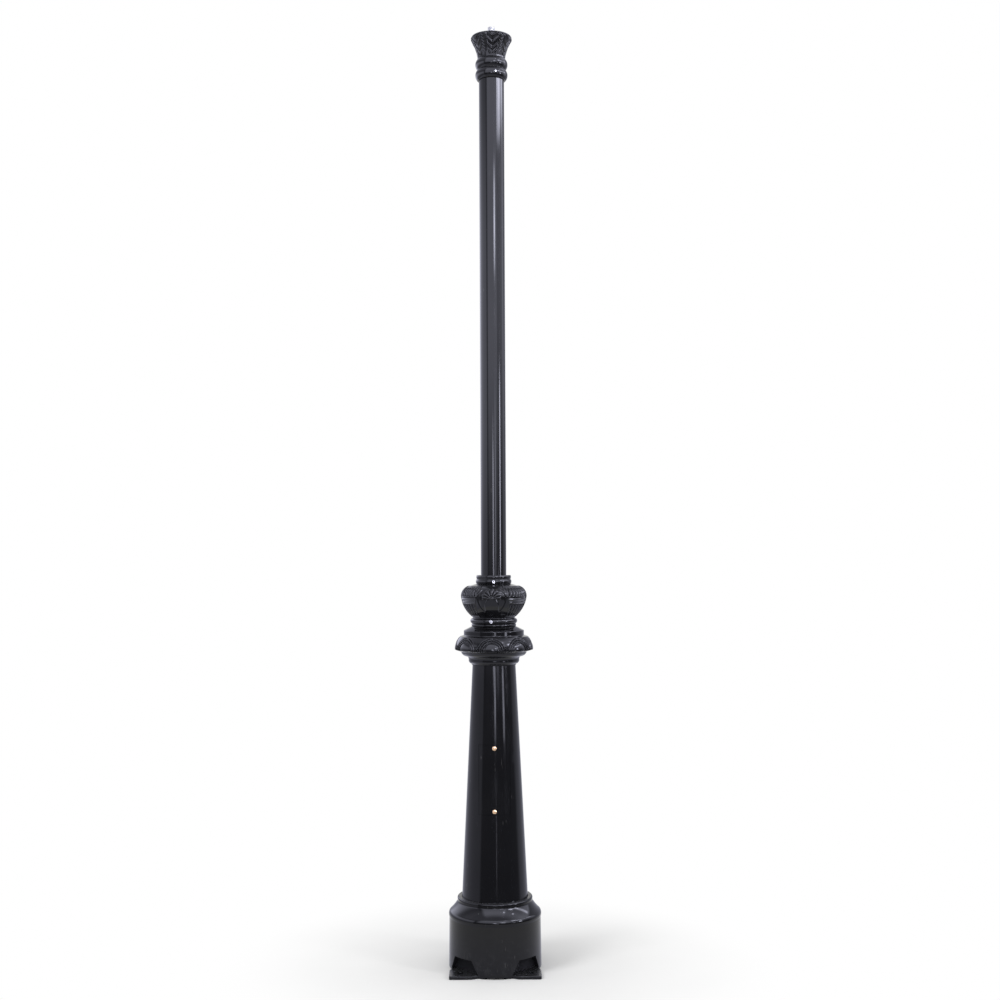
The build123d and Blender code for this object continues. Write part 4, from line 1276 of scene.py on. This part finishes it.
@dataclass
class Studio:
    """Pale floor, soft light and a camera where the photograph was taken."""

    camera_distance: float = 4.2
    camera_height: float = 1.268
    pitch: float = 1.6
    yaw: float = 0.275
    roll: float = -0.26
    focal_share: float = 1.4
    sensor: float = 36.0
    floor_r: float = 0.85
    shadow_r: float = 0.2
    floor_tones: tuple[Colour, Colour] = (rgba(0.83, 0.83, 0.83), rgba(0.86, 0.86, 0.86))
    floor_mirrored: Colour = rgba(0.78, 0.79, 0.90)
    sky_level: float = 0.8
    wall_r: float = 8.0
    wall_level: float = 0.22
    wall_tint: tuple[float, float, float] = (0.87, 0.885, 1.06)
    wall_headings: tuple[float, float, int] = (-170.0, 170.0, 69)
    wall_climbs: tuple[float, float, int] = (-50.0, 80.0, 27)
    aim_height: float = 1.2

    def camera(self) -> None:
        """Set the camera in front of the door's side, looking slightly up."""
        data = bpy.data.cameras.new("photo_camera")
        data.sensor_width = self.sensor
        data.lens = self.focal_share * self.sensor
        data.dof.use_dof = False
        obj = linked("photo_camera", data)
        spot = Matrix.Translation((0.0, -self.camera_distance, self.camera_height))
        heading = Matrix.Rotation(math.radians(-self.yaw), 4, "Z")
        tilt = Matrix.Rotation(math.radians(90.0 + self.pitch), 4, "X")
        obj.matrix_world = spot @ heading @ tilt @ Matrix.Rotation(math.radians(self.roll), 4, "Z")
        bpy.context.scene.camera = obj

    def floor(self) -> None:
        """Lay a pale round floor that fades into the white surroundings."""
        mesh = bpy.data.meshes.new("floor")
        ring = [(x, y, 0.0) for x, y in circle(0.0, 0.0, self.floor_r, 96)]
        mesh.from_pydata(ring, [], [tuple(range(len(ring)))])
        floor = linked("floor", mesh)
        material, graph = blank_material("pale_floor")
        matt = graph.add("ShaderNodeBsdfDiffuse")
        where = graph.here()
        mottle = graph.span(graph.noise(where, 3.0, 2.0), 0.3, 0.7)
        pale = graph.blend(mottle, *self.floor_tones)
        mirrored = graph.add("ShaderNodeLightPath").outputs["Is Glossy Ray"]
        graph.feed(matt, Color=graph.blend(mirrored, pale, self.floor_mirrored))
        white = graph.feed(graph.add("ShaderNodeEmission"), Color=WHITE, Strength=1.0)
        far = graph.feed(graph.add("ShaderNodeVectorMath", operation="LENGTH"), Vector=where)
        fade = graph.span(far.outputs["Value"], self.shadow_r, self.floor_r)
        graph.surface(graph.mixed(graph.times(fade, graph.shown()), matt, white))
        mesh.materials.append(material)
        floor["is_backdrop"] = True

    def surroundings(self) -> None:
        """White all round where it is seen, mirrored or shown through, and soft light elsewhere."""
        world = bpy.data.worlds.new("studio")
        world.use_nodes = True
        bpy.context.scene.world = world
        graph = Graph(world.node_tree)
        soft, plain = (graph.feed(graph.add("ShaderNodeBackground"), Color=WHITE, Strength=level)
                       for level in (self.sky_level, 1.0))
        graph.surface(graph.mixed(graph.shown(), soft, plain), "ShaderNodeOutputWorld")

    def wall(self) -> None:
        """Stand a dim curved wall with soft boxes round the front, seen only in the paint."""
        mesh = bpy.data.meshes.new("studio_wall")
        turns, tilts = (np.radians(np.linspace(*sweep)) for sweep in (self.wall_headings, self.wall_climbs))
        spots = [(math.cos(e) * math.sin(a), -math.cos(e) * math.cos(a), math.sin(e))
                 for e in tilts for a in turns]
        size = len(turns)
        quads = [(i * size + j, i * size + j + 1, (i + 1) * size + j + 1, (i + 1) * size + j)
                 for i in range(len(tilts) - 1) for j in range(size - 1)]
        mesh.from_pydata([tuple(self.wall_r * axis for axis in spot) for spot in spots], [], quads)
        wall = linked("studio_wall", mesh)
        wall.location = (0.0, 0.0, self.camera_height)
        wall.visible_camera = wall.visible_diffuse = False
        wall.visible_shadow = wall.visible_transmission = False
        material, graph = blank_material("studio_wall")
        axes = graph.axes(graph.here())
        front = graph.times(axes["Y"], -1.0)
        heading = graph.math("DEGREES", graph.math("ARCTAN2", axes["X"], front))
        height = graph.math("DIVIDE", axes["Z"], self.wall_r)
        climb = graph.math("DEGREES", graph.math("ARCSINE", height))
        total = self.wall_level
        for box in SOFT_BOXES:
            total = graph.math("ADD", box.place(graph, heading, climb), total)
        tint = graph.add("ShaderNodeVectorMath", operation="SCALE")
        graph.feed(tint, Vector=self.wall_tint, Scale=total)
        glow = graph.add("ShaderNodeEmission")
        graph.surface(graph.feed(glow, Color=tint.outputs["Vector"], Strength=1.0))
        mesh.materials.append(material)
        wall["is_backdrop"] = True

    def lamp(self, name: str, spot: tuple[float, float, float], size: Point, power: float) -> None:
        """Hang a soft box that faces the middle of the post.

        Args:
            name: the lamp's name.
            spot: where it hangs, in metres.
            size: its width and height, in metres.
            power: its power, in watts.
        """
        data = bpy.data.lights.new(name, "AREA")
        data.shape = "RECTANGLE"
        data.size, data.size_y = size
        data.energy = power
        obj = linked(name, data)
        obj.location = spot
        obj.visible_glossy = False
        aim = Vector((0.0, 0.0, self.aim_height)) - obj.location
        obj.rotation_mode = "QUATERNION"
        obj.rotation_quaternion = aim.to_track_quat("-Z", "Y")

    def build(self) -> None:
        """Set up the whole studio."""
        bpy.context.scene.view_settings.view_transform = "Standard"
        self.camera()
        self.floor()
        self.surroundings()
        self.wall()
        for name, (spot, size, power) in LAMPS.items():
            self.lamp(name, spot, size, power)


def finishes() -> dict[str, Material]:
    """Make every material of the post by name."""
    carved = {"wave_scale": 40.0, "peel_share": 0.3, "bump": 0.06, "scuffs": 0.35}
    made = [
        PaintFinish("casting_paint", index=1.36),
        PaintFinish("column_paint", wave_scale=9.0, peel_share=0.18, bump=0.03, scuffs=0.4, dust=0.35),
        PaintFinish("tube_paint", wave_scale=7.0, peel_share=0.14, bump=0.02, gloss=0.06, dull=0.12,
                    dust=0.2),
        # groove_shade darkens the deepest carving as painted shade
        PaintFinish("carved_paint", dust=0.08, groove_shade=0.9, **carved),
        PaintFinish("bell_paint", dust=0.05, groove_shade=0.25, **carved),
        MetalFinish("zinc_plate", rgba(0.52, 0.52, 0.52), rgba(0.40, 0.40, 0.40), 0.4, 0.55),
        MetalFinish("stainless_steel", rgba(0.88, 0.88, 0.88), rgba(0.80, 0.80, 0.80), 0.34, 0.46),
        MetalFinish("polished_brass", rgba(0.86, 0.60, 0.36), rgba(0.62, 0.40, 0.24), 0.16, 0.32),
        MouldedFinish("white_nylon", rgba(0.72, 0.71, 0.67), rgba(0.80, 0.79, 0.76), 0.5),
        MouldedFinish("resin_board", rgba(0.30, 0.20, 0.12), rgba(0.42, 0.29, 0.18), 0.55,
                      (160.0, 160.0, 12.0)),
        MouldedFinish("black_rubber", rgba(0.012, 0.012, 0.012), rgba(0.028, 0.028, 0.028), 0.7),
    ]
    return {finish.name: finish.build() for finish in made}


KEPT = KeptNodes({
    "column_paint": ("tapered_column", "access_door"),
    "zinc_plate": ("column_bolts", "column_bolt_washers", "nipple_nut", "nipple_washer", "mast_collar",
                   "backboard_screws", "block_screws"),
    "stainless_steel": ("boss_screws_lower", "boss_screws_upper", "capital_screws", "collar_screws"),
    "polished_brass": ("door_screw_upper", "door_screw_lower", "terminal_screws", "earth_stud",
                       "earth_washer", "earth_nut"),
    "white_nylon": ("screw_retainer_upper", "screw_retainer_lower", "terminal_block"),
    "resin_board": ("backboard",),
    "black_rubber": ("door_gasket", "tube_grommet"),
})


def main() -> None:
    """Build every sub-assembly, dress the kept nodes and set up the studio."""
    logging.basicConfig(level=logging.INFO, format="%(name)s: %(message)s")
    materials = finishes()
    KEPT.dress(materials)
    BasePlinth().dress(materials["casting_paint"])
    LowerCapital().dress(materials["carved_paint"])
    ColumnBoss().dress(materials["carved_paint"])
    PlainTube().dress(materials["tube_paint"])
    TopCapital().dress(materials["bell_paint"])
    LampStub().dress(materials["zinc_plate"])
    Studio().build()
    boxes = {"cad": CAD_BOX, "visual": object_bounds()}
    {name: [list(corner) for corner in box] for name, box in boxes.items()}


if __name__ == "__main__":
    main()
